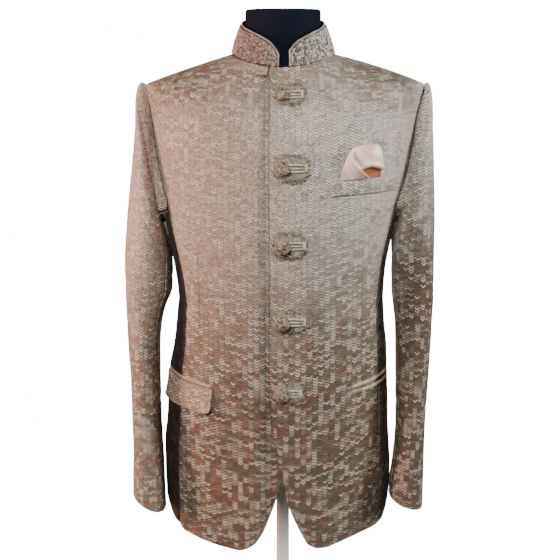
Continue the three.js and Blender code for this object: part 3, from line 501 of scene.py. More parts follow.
SUITING = ["#b29b85", "#5a4231", "#fff2e4", "#e6d5c0", "#cdc5ba", "#4c4034", "#8a5d4c", "#635d49"]
suiting = jacquard("jacquard_suiting", SUITING)
# Sleeves in lit and shaded copies of the suiting's tones: pinker and paler on the viewer's left, darker in
# shade on the viewer's right, both with painted shade on the arm's turned-in side
sleeve_suiting = {
    "right": jacquard("right_sleeve_jacquard", ["#c9af99", "#7c6150", "#fff6ec", "#efdfcb", "#c9af99",
                                                "#7c6150", "#9c6c5a", "#757059"], 0.5),
    "left": jacquard("left_sleeve_jacquard", ["#cdc5bb", "#43372d", "#fff2e4", "#d6c6b2", "#d8d0c6",
                                              "#43372d", "#74503f", "#514c3a"], 0.5)}
# Side bodies with painted shade toward their front seams, deeper on the viewer's left
side_suiting = {"right": jacquard("right_side_jacquard", SUITING, 0.0, 0.93),
                "left": jacquard("left_side_jacquard", SUITING, 0.0, 0.6)}
SEAM_FRONT = curve([150, 500, 600, 712], [66.5, 66.5, 67.6, 72.9])
SEAM_BACK = curve([150, 500, 600, 716], [113, 112, 110.6, 104.6])
ARMHOLE_FRONT_TURN = 138.0
ARMHOLE_BACK_TURN = 225.1
ARMHOLE_H, ARMHOLE_R = 793, 109
ARMHOLE_REACH = curve([0, 45, 70, 102, 119, 138, 180], [4, 6, 6.2, 11, 16.4, 25.6, 28.7])


def armhole(turn):
    """Angle and ring height round the armhole: 0 at the shoulder, 90 at the front, 180 below."""
    c, s = cosd(turn), sind(turn)
    return 90 - np.where(s > 0, ARMHOLE_REACH(turn), 15 - 8 * c) * s, ARMHOLE_H + ARMHOLE_R * c


def gap_deg(h):
    return np.degrees(SEAM_GAP / 2 / body_curves[0](h))


LOW_FRONT = float(armhole(ARMHOLE_FRONT_TURN)[1])
LOW_BACK = float(armhole(ARMHOLE_BACK_TURN)[1])


def side_edge(h, is_front):
    """Angle of a front's or a back's side edge: the side seam, the armhole, then the shoulder."""
    turn = np.degrees(np.arccos(np.clip((h - ARMHOLE_H) / ARMHOLE_R, -1, 1)))
    seam, low, sign = (SEAM_FRONT, LOW_FRONT, -1) if is_front else (SEAM_BACK, LOW_BACK, 1)
    hole = armhole(turn if is_front else 360 - turn)[0]
    deg = np.where(h < low, seam(h), np.where(h < SHOULDER_H, hole, 90.0))
    return deg + sign * gap_deg(h)


def rows_above(rows):
    """A panel's rows on up to the neckline, closer together over the shoulder."""
    return np.concatenate([rows, np.linspace(rows[-1], 880, 41)[1:], np.linspace(880, 906, 19)[1:],
                           np.linspace(906, NECK_H, 25)[1:]])[:, None]


def panel(stands_for, deg, h, u0, v0, dips, sink=None, look=suiting):
    """Cloth panel over a grid of angles and ring heights; dips are the edges that are seams."""
    p, n = body_point(deg, h), body_normal(deg, h)
    from_left = run(p, 1)
    from_right = from_left[:, -1:] - from_left
    depth = crease_depth(np.where(deg > 180, deg - 360, deg), h, CREASES, MM_PER_DEG)
    for word, off in (("left", from_left), ("right", from_right)):
        if word in dips:
            depth += 0.7 * bell(off, 2.0) - 0.1 * bell(off - 6, 4)
    if sink is not None:
        depth += sink(p[..., 0])
    else:
        depth -= 0.8 * bell(from_left - 3, 3.0) * ("left" not in dips)
    p = p - n * depth[..., None]
    inner = p - n * WALL
    grain = grain_of(p, 0.0, v0)
    start = u0 if np.isscalar(u0) else u0[:, None]
    grain[..., 0] = (grain[..., 0] + start) * np.sign(p[0, -1, 0] - p[0, 0, 0])
    return cloth_piece(stands_for, "cloth", p, inner, grain, look)


# Free edges of the fronts, x and height in mm: the closing edges up to where they run straight,
# and the hems out to the side seams
CLOSING_X = 20.5
EDGE_TOP = [(38, 181), (27, 202), (17.5, 222), (9.6, 243), (4.8, 263), (0, 285), (-6.3, 311),
            (-11, 339), (-15.6, 372), (-18.7, 405), (-CLOSING_X, 440)]
EDGE_UNDER = [(-43, 181), (-30, 202), (-22, 222), (-14.2, 243), (-8.5, 263), (-1, 285), (6.3, 311),
              (11, 339), (15.6, 372), (18.7, 405), (CLOSING_X, 440)]
HEM_TOP = [(38, 181), (48, 174), (56, 171.7), (69, 172.4), (85, 177.6), (124.5, 189.5), (150, 194.2)]
HEM_UNDER = [(-43, 181), (-56, 172), (-69, 167.8), (-88, 170.5), (-114, 175.6), (-149, 184.5), (-163, 189)]
HEM_SEAM_H = 196.0
BACK_HEM_H = 232.0
HEM_SIDE = curve([0, 0.08, 0.15, 0.24, 0.33, 0.55, 1], [196, 201, 209, 220, 228.5, 234.5, 232])
STRAIGHT_H = 440.0


def front_grid(edge, hem, closing_x, side):
    """Angles and ring heights of a front: side is 1 on the viewer's right, -1 on the left."""
    seam_x = abs(body_point(side * side_edge(HEM_SEAM_H, True), HEM_SEAM_H)[0])
    hem_z = curve([side * x for x, z in hem] + [seam_x], [z for x, z in hem] + [HEM_SEAM_H])
    t = np.linspace(0, 1, 45)[:, None]
    u = np.linspace(0, 1, 65)[None, :]
    knots = np.linspace(0, 1, len(edge))
    ex = curve(knots, [x for x, z in edge])(t)
    ez = curve(knots, [z for x, z in edge])(t)
    to_h = HEM_SEAM_H + (STRAIGHT_H - HEM_SEAM_H) * t
    from_deg, to_deg = deg_at_x(ex, ez), side * side_edge(to_h, True)
    hem_deg = deg_at_x(edge[0][0], edge[0][1]) * (1 - u) + side * side_edge(HEM_SEAM_H, True) * u
    low_z = hem_z(np.abs(body_point(hem_deg, np.full_like(hem_deg, HEM_SEAM_H))[..., 0]))
    straight = edge[0][1] * (1 - u) + HEM_SEAM_H * u
    h = ez * (1 - u) + to_h * u + (low_z - straight) * (1 - t)
    deg = from_deg * (1 - u) + to_deg * u
    up = rows_above(np.linspace(STRAIGHT_H, LOW_FRONT, 61)[1:])
    up_deg = deg_at_x(closing_x, up) * (1 - u) + side * side_edge(up, True) * u
    return np.concatenate([deg, up_deg]), np.concatenate([h, up + 0 * u])


deg, h = front_grid(EDGE_TOP, HEM_TOP, -CLOSING_X, 1)
start = body_point(deg[:, :1], h[:, :1])[:, 0, 0]
front_left = panel("front_left", deg, h, start, 0.0, ("right",))
front_left.data.set_sharp_from_angle(angle=math.radians(50))


def under_step(x):
    """How far the right front is set back where the left one covers it."""
    return 4.2 * ease(clamp((x + 40) / 16))


deg, h = front_grid(EDGE_UNDER, HEM_UNDER, CLOSING_X, -1)
start = -body_point(deg[:, :1], h[:, :1])[:, 0, 0]
front_right = panel("front_right", deg, h, start, 137.0, ("right",), under_step)

for side, word in ((1, "left"), (-1, "right")):
    up = rows_above(np.linspace(BACK_HEM_H, LOW_BACK, 90))
    u = np.linspace(0, 1, 49)[None, :]
    centre = 180 - np.degrees(SEAM_GAP / 2 / body_curves[3](up))
    deg = side * (centre * (1 - u) + side_edge(up, False) * u)
    h = up + 3.0 * (1 - u) * clamp((STRAIGHT_H - up) / (STRAIGHT_H - BACK_HEM_H))
    back = panel("back_%s" % word, deg, h, 2.0, 490.0 + 90 * side, ("left", "right"))

    i = np.linspace(0, 1, 100)[:, None]
    u = np.linspace(0, 1, 27)[None, :]
    knots = np.concatenate([np.linspace(0, 10, 11), np.arange(11, 19)]) / 18
    mid_rows = [474, 510, 546, 582, 620, 652, 684]
    front_h = curve(knots, [*np.linspace(HEM_SEAM_H, STRAIGHT_H, 11), *mid_rows, LOW_FRONT])(i)
    back_h = curve(knots, [*np.linspace(BACK_HEM_H, STRAIGHT_H, 11), *mid_rows, LOW_BACK])(i)
    rise = i ** 3
    top_deg, top_h = armhole(ARMHOLE_FRONT_TURN * (1 - u) + ARMHOLE_BACK_TURN * u)
    bump = (HEM_SIDE(u) - HEM_SEAM_H * (1 - u) - BACK_HEM_H * u) * np.clip(1 - i * 1.8, 0, None)
    first, last = SEAM_FRONT(front_h) + gap_deg(front_h), SEAM_BACK(back_h) - gap_deg(back_h)
    even = SEAM_FRONT(LOW_FRONT) * (1 - u) + SEAM_BACK(LOW_BACK) * u
    deg = side * (first * (1 - u) + last * u + (top_deg - even) * rise)
    h = front_h * (1 - u) + back_h * u + bump + (top_h - LOW_FRONT * (1 - u) - LOW_BACK * u) * rise
    side_body = panel("side_body_%s" % word, deg, h, 4.0, 810.0 + 60 * side, ("left", "right"),
                      look=side_suiting[word])

# Sleeves: two-piece sleeves of the same suiting, an upper and an under piece seamed along the
# front and the back of the arm, set into the armholes with a small roll at the head. Rings:
# outermost x and z, innermost x and z, middle y and half depth; millimetres.
SLEEVE_RIGHT = [
    (-222.5, 903.5, -190.5, 681, 8, 44), (-229.5, 896.5, -189.5, 676, 5, 50),
    (-232, 879, -187, 669, 0, 56), (-233, 846, -183.5, 659, -4, 61),
    (-236.5, 800, -180.5, 645, -7, 65.5), (-243.5, 742, -178.5, 627, -8, 65.5),
    (-250, 682, -178, 603, -9, 64), (-254, 622, -179, 575, -12, 61.5),
    (-253.3, 572, -189.5, 548, -16, 59), (-251.8, 530, -196.5, 517, -21, 57),
    (-249.5, 486, -199, 480, -28, 55), (-245.7, 432, -198.5, 428, -37, 53),
    (-244.2, 374, -197.5, 369, -46, 51.5), (-242.3, 316, -194, 308, -56, 50.5),
    (-243, 282, -192, 262, -64, 50), (-243, 254, -190.5, 224, -69, 49.5),
]
SLEEVE_LEFT = [
    (227.5, 903.5, 181.8, 681, 8, 44), (233.2, 896, 180.5, 676, 5, 50), (235.5, 878, 178.3, 669, 0, 56),
    (236.5, 846, 175.8, 659, -4, 61), (238, 800, 174.6, 645, -7, 65.5), (240.5, 742, 176, 627, -8, 65.5),
    (242.5, 682, 175.6, 603, -9, 64), (242.5, 622, 176, 575, -12, 61.5),
    (242.5, 572, 178.5, 548, -16, 59), (240.9, 530, 182, 517, -21, 57),
    (238.5, 486, 182.5, 480, -28, 55), (235, 432, 183, 428, -37, 53),
    (230.9, 374, 183.5, 369, -46, 51.5), (228.5, 312, 179, 310, -58, 50.5),
    (227.5, 268, 173.5, 272, -66, 50), (226.5, 233, 172, 248, -72, 49.5),
]
# Folds: table row, angle round the arm, depth, reach along in rows and round in degrees
SLEEVE_FOLDS = [
    (4.2, 95, 2.2, 0.5, 40), (7.6, 120, 3.2, 0.42, 42), (8.7, 100, 3.0, 0.36, 46),
    (9.8, 80, 2.6, 0.4, 40), (9.1, 250, 2.2, 0.5, 36), (11.4, 110, 1.8, 0.5, 38),
    (6.3, 265, 1.8, 0.55, 36),
]
# Small creases: angle round the arm, way down from the shoulder, lean, length, width, depth
SLEEVE_CREASES = [
    (70, 120, 60, 30, 6, 1.2), (100, 175, 70, 34, 6, 1.2), (60, 230, 55, 28, 5, 0.9),
    (110, 262, 75, 34, 6, 1.4), (84, 300, 64, 36, 6, 1.6), (118, 322, 82, 32, 5, 1.5),
    (60, 345, 74, 32, 6, 1.3), (96, 372, 68, 36, 6, 1.5), (40, 402, 60, 30, 6, 1.0),
    (112, 420, 80, 34, 6, 1.2), (80, 478, 66, 30, 6, 0.9), (50, 540, 50, 30, 6, 0.8),
    (230, 250, -60, 34, 7, 1.2), (250, 330, -70, 34, 7, 1.5), (232, 366, -76, 30, 6, 1.3),
    (262, 410, -60, 36, 7, 1.2), (300, 300, -40, 40, 8, 0.9), (320, 420, 46, 40, 8, 0.9),
    (20, 330, 50, 40, 8, 0.8), (250, 500, -50, 32, 7, 0.9), (20, 90, 20, 40, 8, 0.8),
    (330, 110, -24, 40, 8, 0.8), (176, 90, 60, 24, 5, 1.0), (186, 300, 75, 26, 5, 1.0),
]


def sleeve_rings(table, side, turn):
    """Ring points, one table row after another, the first round the armhole."""
    deg, h = armhole(turn)
    rings = [body_point(side * deg, h) + body_normal(side * deg, h) * 0.6]
    c, s = cosd(turn), sind(turn)
    cs, ss = np.sign(c) * np.abs(c) ** (2 / 2.15), np.sign(s) * np.abs(s) ** (2 / 2.15)
    for k, (ox, oz, ix, iz, y, half) in enumerate(table):
        pinch = sum(d * bell(k + 1 - at, along) * bell(turn - angle, rnd)
                    for at, angle, d, along, rnd in SLEEVE_FOLDS)
        keep = 1 - pinch / half
        rings.append(np.stack([(ox + ix) / 2 + (ox - ix) / 2 * cs * keep, y - half * ss * keep,
                               (oz + iz) / 2 + (oz - iz) / 2 * cs * keep], -1))
    rings = np.stack(rings)
    fill = clamp((np.abs(s) - 0.25) / 0.35) * 0.8
    for k in range(1, 6):  # the head is filled out toward a straight line down to ring 6
        straight = rings[0, :, 1] + (rings[6, :, 1] - rings[0, :, 1]) * (k / 6) - 1.5 * np.sign(s)
        short = np.where(s > 0, rings[k, :, 1] > straight, rings[k, :, 1] < straight)
        rings[k, :, 1] += (straight - rings[k, :, 1]) * fill * short
    return rings


def sleeve_surface(table, side, turn, v):
    """Points of a sleeve's outside at angles round the arm and places v along its rings."""
    rings = sleeve_rings(table, side, turn % 360)
    knots = np.arange(len(rings))
    out = np.empty((len(v), len(turn), 3))
    for j in range(len(turn)):
        for axis in range(3):
            out[:, j, axis] = curve(knots, rings[:, j, axis])(v)
    return out


armhole_seams = []
for table, side, word in ((SLEEVE_RIGHT, -1, "right"), (SLEEVE_LEFT, 1, "left")):
    for part, first, last, cols in (("upper", -112, 142, 70), ("under", 142, 248, 30)):
        turn = np.linspace(first + 0.1, last - 0.1, cols + 1)
        v = np.concatenate([np.linspace(0, 3, 25), np.linspace(3, 16, 131)[1:]])
        p = sleeve_surface(table, side, turn, v)
        du = sleeve_surface(table, side, turn + 1.0, v) - sleeve_surface(table, side, turn - 1.0, v)
        dv = np.gradient(p, axis=0)
        n = unit(np.cross(du, dv)) * side
        mid = sleeve_surface(table, side, np.array([0.0, 180.0]), v).mean(1, keepdims=True)
        soft = clamp(v / 1.2)[:, None, None]  # at the head the rings lie too close for a normal
        n = unit(n * soft + unit(p - mid) * (1 - soft))
        down = run(p[:, cols // 2], 0)[:, None]
        angle = np.where(turn < 0, turn + 360, turn)[None, :]
        depth = crease_depth(angle, down + 0 * angle, SLEEVE_CREASES, 1.0)
        edge = np.minimum(turn - first, last - turn)[None, :]
        below = clamp((down - 200) / 60)
        depth = depth + (0.6 * bell(edge, 2.2) - 0.1 * bell(edge - 7, 4)) * below
        head = bell(down - 9, 7)
        depth = depth + 1.2 * bell(down, 3.0) - 0.9 * head * (cosd(turn) > -0.2)
        p = p - n * depth[..., None]
        inner = p - n * WALL
        # Place on the flat cloth: round the arm, as on an oval of 60 x 112 mm, and up
        rows = np.array(table, float)[::-1]
        z = p[..., 2]
        out_x, in_x = np.interp(z, rows[:, 1], rows[:, 0]), np.interp(z, rows[:, 3], rows[:, 2])
        mid_z = (rows[:, 1] + rows[:, 3]) / 2
        y0, deep = np.interp(z, mid_z, rows[:, 4]), np.interp(z, mid_z, rows[:, 5])
        mid_x, half_x = (out_x + in_x) / 2, (out_x - in_x) / 2
        round_it = np.arctan2(-(p[..., 1] - y0) / deep, (p[..., 0] - mid_x) / half_x)
        round_it = np.where(round_it < math.radians(first - 20), round_it + 2 * math.pi, round_it)
        sweep = np.radians(np.arange(-180, 421))
        ways = np.hypot(np.diff(30 * np.cos(sweep)), np.diff(56 * np.sin(sweep)))
        arc = np.concatenate([[0], np.cumsum(ways)])
        grain = np.stack([np.interp(round_it, sweep, arc) * side + 700, z * 1.02 + 45 * side], -1)
        sleeve = cloth_piece("sleeve_%s_%s" % (part, word), "cloth", p, inner, grain,
                             sleeve_suiting[word])

    for around in (np.linspace(4, 126, 90), np.linspace(236, 356, 90)):
        deg, h = armhole(around)
        ups = body_normal(side * deg, h)
        armhole_seams.append((body_point(side * deg, h) - ups * 0.5, ups))


def applied(deg, z, high, lift):
    """Outer and inner grid of a thin piece that lies on the front, high above its cloth."""
    h = ring_at(deg, z)
    p, n = body_point(deg, h), body_normal(deg, h)
    return p + n * high[..., None], p + n * lift


# Collar: a stiff stand collar of buckram, faced with the suiting and worked all over with tiny
# couched thread loops, its edge bound with a smooth folded strip. Its ends curve away from the
# closing and its band leans in to the neck.
COLLAR_EDGE = curve([4, 6, 9.5, 14, 22.6, 38, 60, 80, 110, 145, 180],
                    [943, 950, 957.5, 964.5, 971.5, 979.5, 987, 993, 999, 1004, 1006])


def collar_point(deg, v, out):
    """Point of the collar's outside: v is 0 on the neckline and 1 on its edge."""
    base = body_point(deg, np.full(np.shape(deg), NECK_H)) + [0, 0, LIFT]
    turned = np.abs(np.where(deg > 180, deg - 360, deg))
    c = cosd(deg)
    top_z = COLLAR_EDGE(turned)
    top = oval(deg, 64, np.where(c > 0, 76, 53), 2.05, 0 * top_z)
    share = np.minimum(1, (top_z - base[..., 2]) / (COLLAR_EDGE(30 + 0.83 * turned) - base[..., 2]))
    t = (v * share)[..., None]
    flat = base[..., :2] * (1 - t) + top[..., :2] * t
    flat = flat * (1 + (out + 1.2 * np.sin(np.pi * v)) / np.linalg.norm(flat, axis=-1))[..., None]
    return np.concatenate([flat, (base[..., 2] * (1 - v) + top_z * v)[..., None]], -1)


u = np.linspace(0, 1, 201)
eased = u - np.sin(2 * np.pi * u) / (2 * np.pi) * 0.6
collar_deg, collar_v = np.meshgrid(7.2 + (360 - 5.2 - 7.2) * eased, np.linspace(0, 1, 15))
outer = collar_point(collar_deg, collar_v, 0.0)
inner = collar_point(collar_deg, collar_v, -2.2)


def threads(name, paths, ups, radius, look, slot_name, sides=4, taper=0.5):
    """Many fine threads as one mesh: paths and ups are arrays of thread, point, xyz in mm."""
    along = unit(np.gradient(paths, axis=1))
    across = unit(np.cross(along, ups))
    rise = np.cross(across, along)
    count, length = paths.shape[:2]
    width = np.ones((count, length)) * radius
    width[:, [0, -1]] *= taper
    rings = []
    for a in 2 * math.pi * (np.arange(sides) + 0.5) / sides:
        rings.append(paths + (rise * math.cos(a) + across * math.sin(a)) * width[:, :, None])
    points = np.stack(rings, 2).reshape(-1, 3) / 1000
    at = np.arange(count)[:, None, None] * length * sides
    step = np.arange(length - 1)[None, :, None] * sides
    k = np.arange(sides)[None, None, :]
    a, b = at + step + k, at + step + (k + 1) % sides
    walls = np.stack([a, b, b + sides, a + sides], -1).reshape(-1, 4)
    first = at[:, 0, :] + np.arange(sides)[None, ::-1]
    last = at[:, 0, :] + (length - 1) * sides + np.arange(sides)[None, :]
    faces = walls.tolist() + first.tolist() + last.tolist()
    made = mesh_object(name, points, faces, look)
    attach(made, "root")
    return made


def thread_material(name, pale, dark, right_pale, scale):
    """Twisted silk thread: paler and darker strands, with a second tint right of the chest's middle:
    painted light and shade of the two sides, as on the suiting.
    """
    look, tree, shader = material(name, {"Roughness": 0.55, "Specular IOR Level": 0.4})
    place = in_object(tree)
    strand = noise(tree, place, scale)
    x = node(tree, "ShaderNodeSeparateXYZ", {0: place}).outputs[0]
    tint = mix(tree, ramp(tree, x, -0.04, 0.04, kind="LINEAR"), linear(pale), linear(right_pale))
    colour = mix(tree, ramp(tree, strand, 0.38, 0.62, kind="LINEAR"), linear(dark), tint)
    tree.links.new(colour, shader.inputs["Base Color"])
    relief(tree, shader, strand, 0.4, 0.0003)
    return look


loop_silk = thread_material("collar_loop_silk", "#b89d8c", "#79665a", "#ebe7df", 200.0)
binding_silk = thread_material("smooth_binding", "#a59180", "#8c7a6a", "#beb4a6", 90.0)
collar_ground = thread_material("collar_ground", "#46382e", "#2e251e", "#8d8378", 300.0)
collar = cloth_piece("collar", "band", outer, inner, grain_of(outer, 0, 0), collar_ground)
random = np.random.default_rng(11)


def curls(place, u, v, scale_u, scale_v, size, off, turns=0.84, steps=9):
    """Paths of small open loops about the surface points u, v, and the way off the surface."""
    n = len(u)
    start = random.uniform(0, 2 * math.pi, n)[:, None]
    sweep = np.linspace(0, 2 * math.pi * turns, steps)[None, :]
    r = size * random.uniform(0.75, 1.25, n)[:, None]
    squash = random.uniform(0.6, 1.0, n)[:, None]
    tilt = random.uniform(0, math.pi, n)[:, None]
    a, b = r * np.cos(start + sweep), r * squash * np.sin(start + sweep)
    du, dv = a * np.cos(tilt) - b * np.sin(tilt), a * np.sin(tilt) + b * np.cos(tilt)
    lift = off + 0.35 * np.sin(sweep * 1.5 + start)
    uu, vv = u[:, None] + du * scale_u[:, None], v[:, None] + dv * scale_v[:, None]
    low, high = place(uu, vv, lift), place(uu, vv, lift + 1.0)
    return low, unit(high - low)


# Seams: sewing thread pulled tight in the groove where a sleeve meets the body and in the long dart
# seams of the fronts. Along the closing edge a thicker dark thread stands in for the shadow under
# the top front's edge: a painted shadow line.
seam_thread = thread_material("brown_seam_thread", "#463a30", "#2a221c", "#3f382f", 300.0)
threads("armhole_seams", *map(np.stack, zip(*armhole_seams)), 0.75, seam_thread, "plain_cloth", sides=6)
dart_and_shadow_lines = []
for x, low, high in ((-131, 452, 665), (121, 452, 640)):
    z = np.linspace(high, low, 60)
    x = x + 1.2 * np.sin((z - low) / 60)
    deg = deg_on(x, z)
    h = ring_at(deg, z)
    n = body_normal(deg, h)
    dart_and_shadow_lines.append((body_point(deg, h) - n * (crease_depth(deg, h, CREASES, MM_PER_DEG)[:, None] + 0.25), n))
# Painted shadow line: a dark thread sunk along the top front's closing edge
h = np.linspace(944, 264, 60)
x = curve([264, 285, 311, 339, 372, 405, STRAIGHT_H, 944],
          [5.3, 0, -6.3, -11, -15.6, -18.7, -CLOSING_X, -CLOSING_X])(h) - 0.7
deg = deg_at_x(x, h)
n = body_normal(deg, h)
dart_and_shadow_lines.append((body_point(deg, h) - n * 0.7, n))
threads("front_darts_and_edge_shadow", *map(np.stack, zip(*dart_and_shadow_lines)), np.array([0.42, 0.42, 0.8])[:, None], seam_thread,
        "plain_cloth")

# Collar's work: rows of small couched loops over the whole band, and the binding of its edge.
spots = []
for k, level in enumerate(np.arange(2.6, 62, 3.6)):
    for s in np.arange(9.0 + (k % 2) * 1.4, 353.0, 2.9):
        spots.append((s + random.uniform(-0.7, 0.7), level + random.uniform(-0.9, 0.9)))
spots = np.array(spots)
foot = collar_point(spots[:, 0], np.zeros(len(spots)), 0.0)
tall = collar_point(spots[:, 0], np.ones(len(spots)), 0.0)[:, 2] - foot[:, 2]
spots, tall = spots[spots[:, 1] < tall - 3.2], tall[spots[:, 1] < tall - 3.2]
mid = collar_point(spots[:, 0], spots[:, 1] / tall, 0.0)
per_mm = DEG_PER_RAD / np.linalg.norm(mid[:, :2], axis=1)
paths, ups = curls(collar_point, spots[:, 0], spots[:, 1] / tall, per_mm, 1 / tall, 1.7, 0.8)
collar_loops = threads("collar_thread_loops", paths, ups, 0.8, loop_silk, "embroidery")

round_deg = np.concatenate([np.full(8, 7.2), collar_deg[0], np.full(8, 354.8)])
round_v = np.concatenate([np.linspace(0.02, 1, 9)[:-1], np.ones(collar_deg.shape[1]),
                          np.linspace(1, 0.02, 9)[1:]])
edge = collar_point(round_deg, round_v, -0.9)
beyond = collar_point(round_deg, round_v, 2.0)
collar_binding = threads("collar_edge_binding", edge[None], unit(beyond - edge)[None], 1.35, binding_silk,
                         "plain_cloth", sides=8, taper=0.8)

# Pale strip at the neck: the top edge of the under front, faced with a strip of the lighter
# cloth that shows between the collar's ends.
pale_suiting = jacquard("pale_jacquard", ["#b49c8a", "#a08b7a", "#c7b9a8", "#bcae9c", "#b1a899",
                                          "#a8a090", "#a68c7b", "#9a917f"])
u, v = grid(33, 9)
deg = -46 + (-15.5 + 46) * u
neck_z = body_point(deg, np.full_like(deg, NECK_H))[..., 2] - 0.8
edge = 0.5 * bell(1 - np.abs(2 * v - 1), 0.25)
outer, inner = applied(deg, neck_z - 13 * (1 - v), 1.7 - edge, LIFT)
strip = cloth_piece("neck_strip", "cloth", outer, inner, grain_of(outer, 3, 1), pale_suiting)

# Breast pocket: a stitched welt of the suiting over the pocket's mouth.
u, v = grid(49, 13)
deg = deg_on(72, 738.5) * (1 - u) + 67.2 * u
z = (738.5 * (1 - u) + 744 * u) * (1 - v) + (759.5 * (1 - u) + 763 * u) * v
rim = np.minimum(np.minimum(v, 1 - v) * 19, np.minimum(u, 1 - u) * 72)
high = 2.9 - 1.3 * bell(rim, 0.9) - 0.45 * bell(rim - 3.0, 0.7)
outer, inner = applied(deg, z, high, LIFT)
welt_suiting = jacquard("welt_jacquard", ["#9a8f84", "#6a5e52", "#fff2e4", "#e9dac6", "#a39c92",
                                          "#5f564b", "#8a7568", "#77705f"])
welt = cloth_piece("breast_welt", "cloth", outer, inner, grain_of(outer, 2, 1), welt_suiting)

# Pocket square: champagne silk satin puffed out of the breast pocket, with a rolled fold across
# it and a deep hollow behind the fold. The hollow and a streak beside the roll are darkened to
# orange-brown with painted shade.
satin, tree, shader = material("champagne_satin", {"Roughness": 0.28, "Anisotropic": 0.4,
                                                   "Sheen Weight": 0.15})
cloud = noise(tree, in_object(tree), 55.0, 1.0)
satin_tone = mix(tree, ramp(tree, cloud, 0.35, 0.65, kind="LINEAR"), linear("#f5c6b0"), linear("#ffebdf"))
# Painted shade: orange-brown where the points carry the hollow's shade
painted_hollow_shade = node(tree, "ShaderNodeAttribute", attribute_name="painted_hollow_shade").outputs["Fac"]
satin_tone = mix(tree, painted_hollow_shade, satin_tone, linear("#a8674a"))
tree.links.new(satin_tone, shader.inputs["Base Color"])
# Height, left and right edge, and how far it puffs out; mm
SQUARE = np.array([
    [763.6, 86, 149, 5], [770, 86, 148.5, 8], [779, 88, 149, 10.5], [789, 91.5, 149, 11.5],
    [798, 94.5, 147.5, 11], [806, 98, 145.5, 9.5], [812, 107, 144, 7], [816, 122, 141, 4],
])
u, v = grid(91, 91)
SQUARE_LOW, SQUARE_HIGH = SQUARE[0, 0], SQUARE[-1, 0]
z = SQUARE_LOW + (SQUARE_HIGH - SQUARE_LOW) * v
left, right, puff = [curve(SQUARE[:, 0], SQUARE[:, k])(z) for k in (1, 2, 3)]
x = left + (right - left) * u
rim = np.sin(np.pi * (0.03 + 0.94 * u)) ** 0.4
ROLL = curve([763.6, 766, 774.3, 782.1, 792.7, 798.9, 806, 816],
             [127, 124.1, 115.5, 107.6, 99.7, 96.5, 97, 99])
UNDER = curve([100, 108, 113, 127, 145, 152], [764, 772, 778.5, 782, 777, 774])
away = x - ROLL(z)
inside = clamp((UNDER(x) - z) / 2.5) * clamp((away - 0.8) / 2) * clamp((147.5 - x) / 3)
streak = bell(away - 8, 3.2) * clamp((z - 780) / 5) * clamp((808 - z) / 6)
high = puff * rim - 6.0 * inside - 2.6 * streak
high += 2.0 * bell(z - UNDER(x) - 3.5, 3.5) * clamp((away - 3) / 4)
high += 2.4 * bell(away, 2.4) - 0.12 * np.clip(-away, 0, 20)
high += 1.8 * bell(x - 144, 3.5) + 1.2 * bell(x - 132, 5) * bell(z - 800, 9)
high = np.maximum(high, 1.0 + 0 * u)
outer, inner = applied(deg_on(x, z), z + 3.4 * u * (1 - v), 0.5 + high, LIFT)
thick = np.linalg.norm(inner - outer, axis=-1, keepdims=True)
inner = outer + unit(inner - outer) * np.minimum(0.9, thick * 0.8)
square = cloth_piece("pocket_square", "satin", outer, inner, grain_of(outer, 0, 0), satin)
# Painted shade in the hollow behind the fold and along the streak, kept on the points
shade = clamp(inside + 0.55 * streak).ravel()
painted_hollow_shade = square.data.attributes.new("painted_hollow_shade", "FLOAT", "POINT")
painted_hollow_shade.data.foreach_set("value", np.concatenate([shade, shade]))
hem_satin = thread_material("rolled_satin_hem", "#ffe9db", "#f6d3bf", "#fff0e6", 60.0)
hems = []
roll_z, side_z, top_x = np.linspace(765, 806, 40), np.linspace(766, 813, 40), np.linspace(97, 141, 40)
side_line = curve([765, 779, 789, 798, 813], [147, 148, 148, 146.5, 142])
top_line = curve([97, 101, 110, 125, 141], [804, 808, 812, 814.3, 815])
for line_x, line_z in ((ROLL(roll_z), roll_z), (side_line(side_z), side_z), (top_x, top_line(top_x))):
    i = np.round(90 * clamp((line_z - SQUARE_LOW) / (SQUARE_HIGH - SQUARE_LOW))).astype(int)
    j = np.array([np.argmin(np.abs(x[k] - at)) for k, at in zip(i, line_x)])
    n = unit(outer[i, j] - inner[i, j])
    path = outer[i, j] + n * 0.3
    for _ in range(3):
        path[1:-1] = (path[:-2] + path[1:-1] * 2 + path[2:]) / 4
    hems.append((path, n))
square_hems = threads("pocket_square_hems", *map(np.stack, zip(*hems)), 0.75, hem_satin, "satin", sides=6)

# Hip pockets: jetted mouths of smooth pale satin on both sides, the viewer's left with a flap of
# the suiting that has curled up at its front corner.
jet_satin = thread_material("pale_jet_satin", "#b3957a", "#9d8269", "#b9ae9c", 60.0)


def jet(name, x0, z0, deg1, z1, half, sag):
    """A rolled lip from x0, z0 to the angle deg1 and height z1; half is half its height."""
    u, v = grid(61, 9)
    deg = deg_on(x0, z0) * (1 - u) + deg1 * u
    z = z0 + (z1 - z0) * u + sag * np.sin(np.pi * u) + half * (2 * v - 1)
    ends = np.clip(np.minimum(u, 1 - u) * 30, 0.4, 1)
    high = 0.9 + 1.4 * np.sqrt(clamp(1 - (2 * v - 1) ** 2)) * ends
    outer, inner = applied(deg, z, high, LIFT)
    return cloth_piece(name, "satin", outer, inner, grain_of(outer, 0, 0), jet_satin)


for name, x0, z0, deg1, z1, half, sag in (
        ("flap_jet", -112, 436.5, -80, 450, 3.0, 0.0), ("jet_lower", 107.5, 427.6, 79, 438.6, 2.9, -1.0),
        ("jet_upper", 107.5, 435.6, 79, 449.6, 2.9, 0.6)):
    made = jet(name, x0, z0, deg1, z1, half, sag)

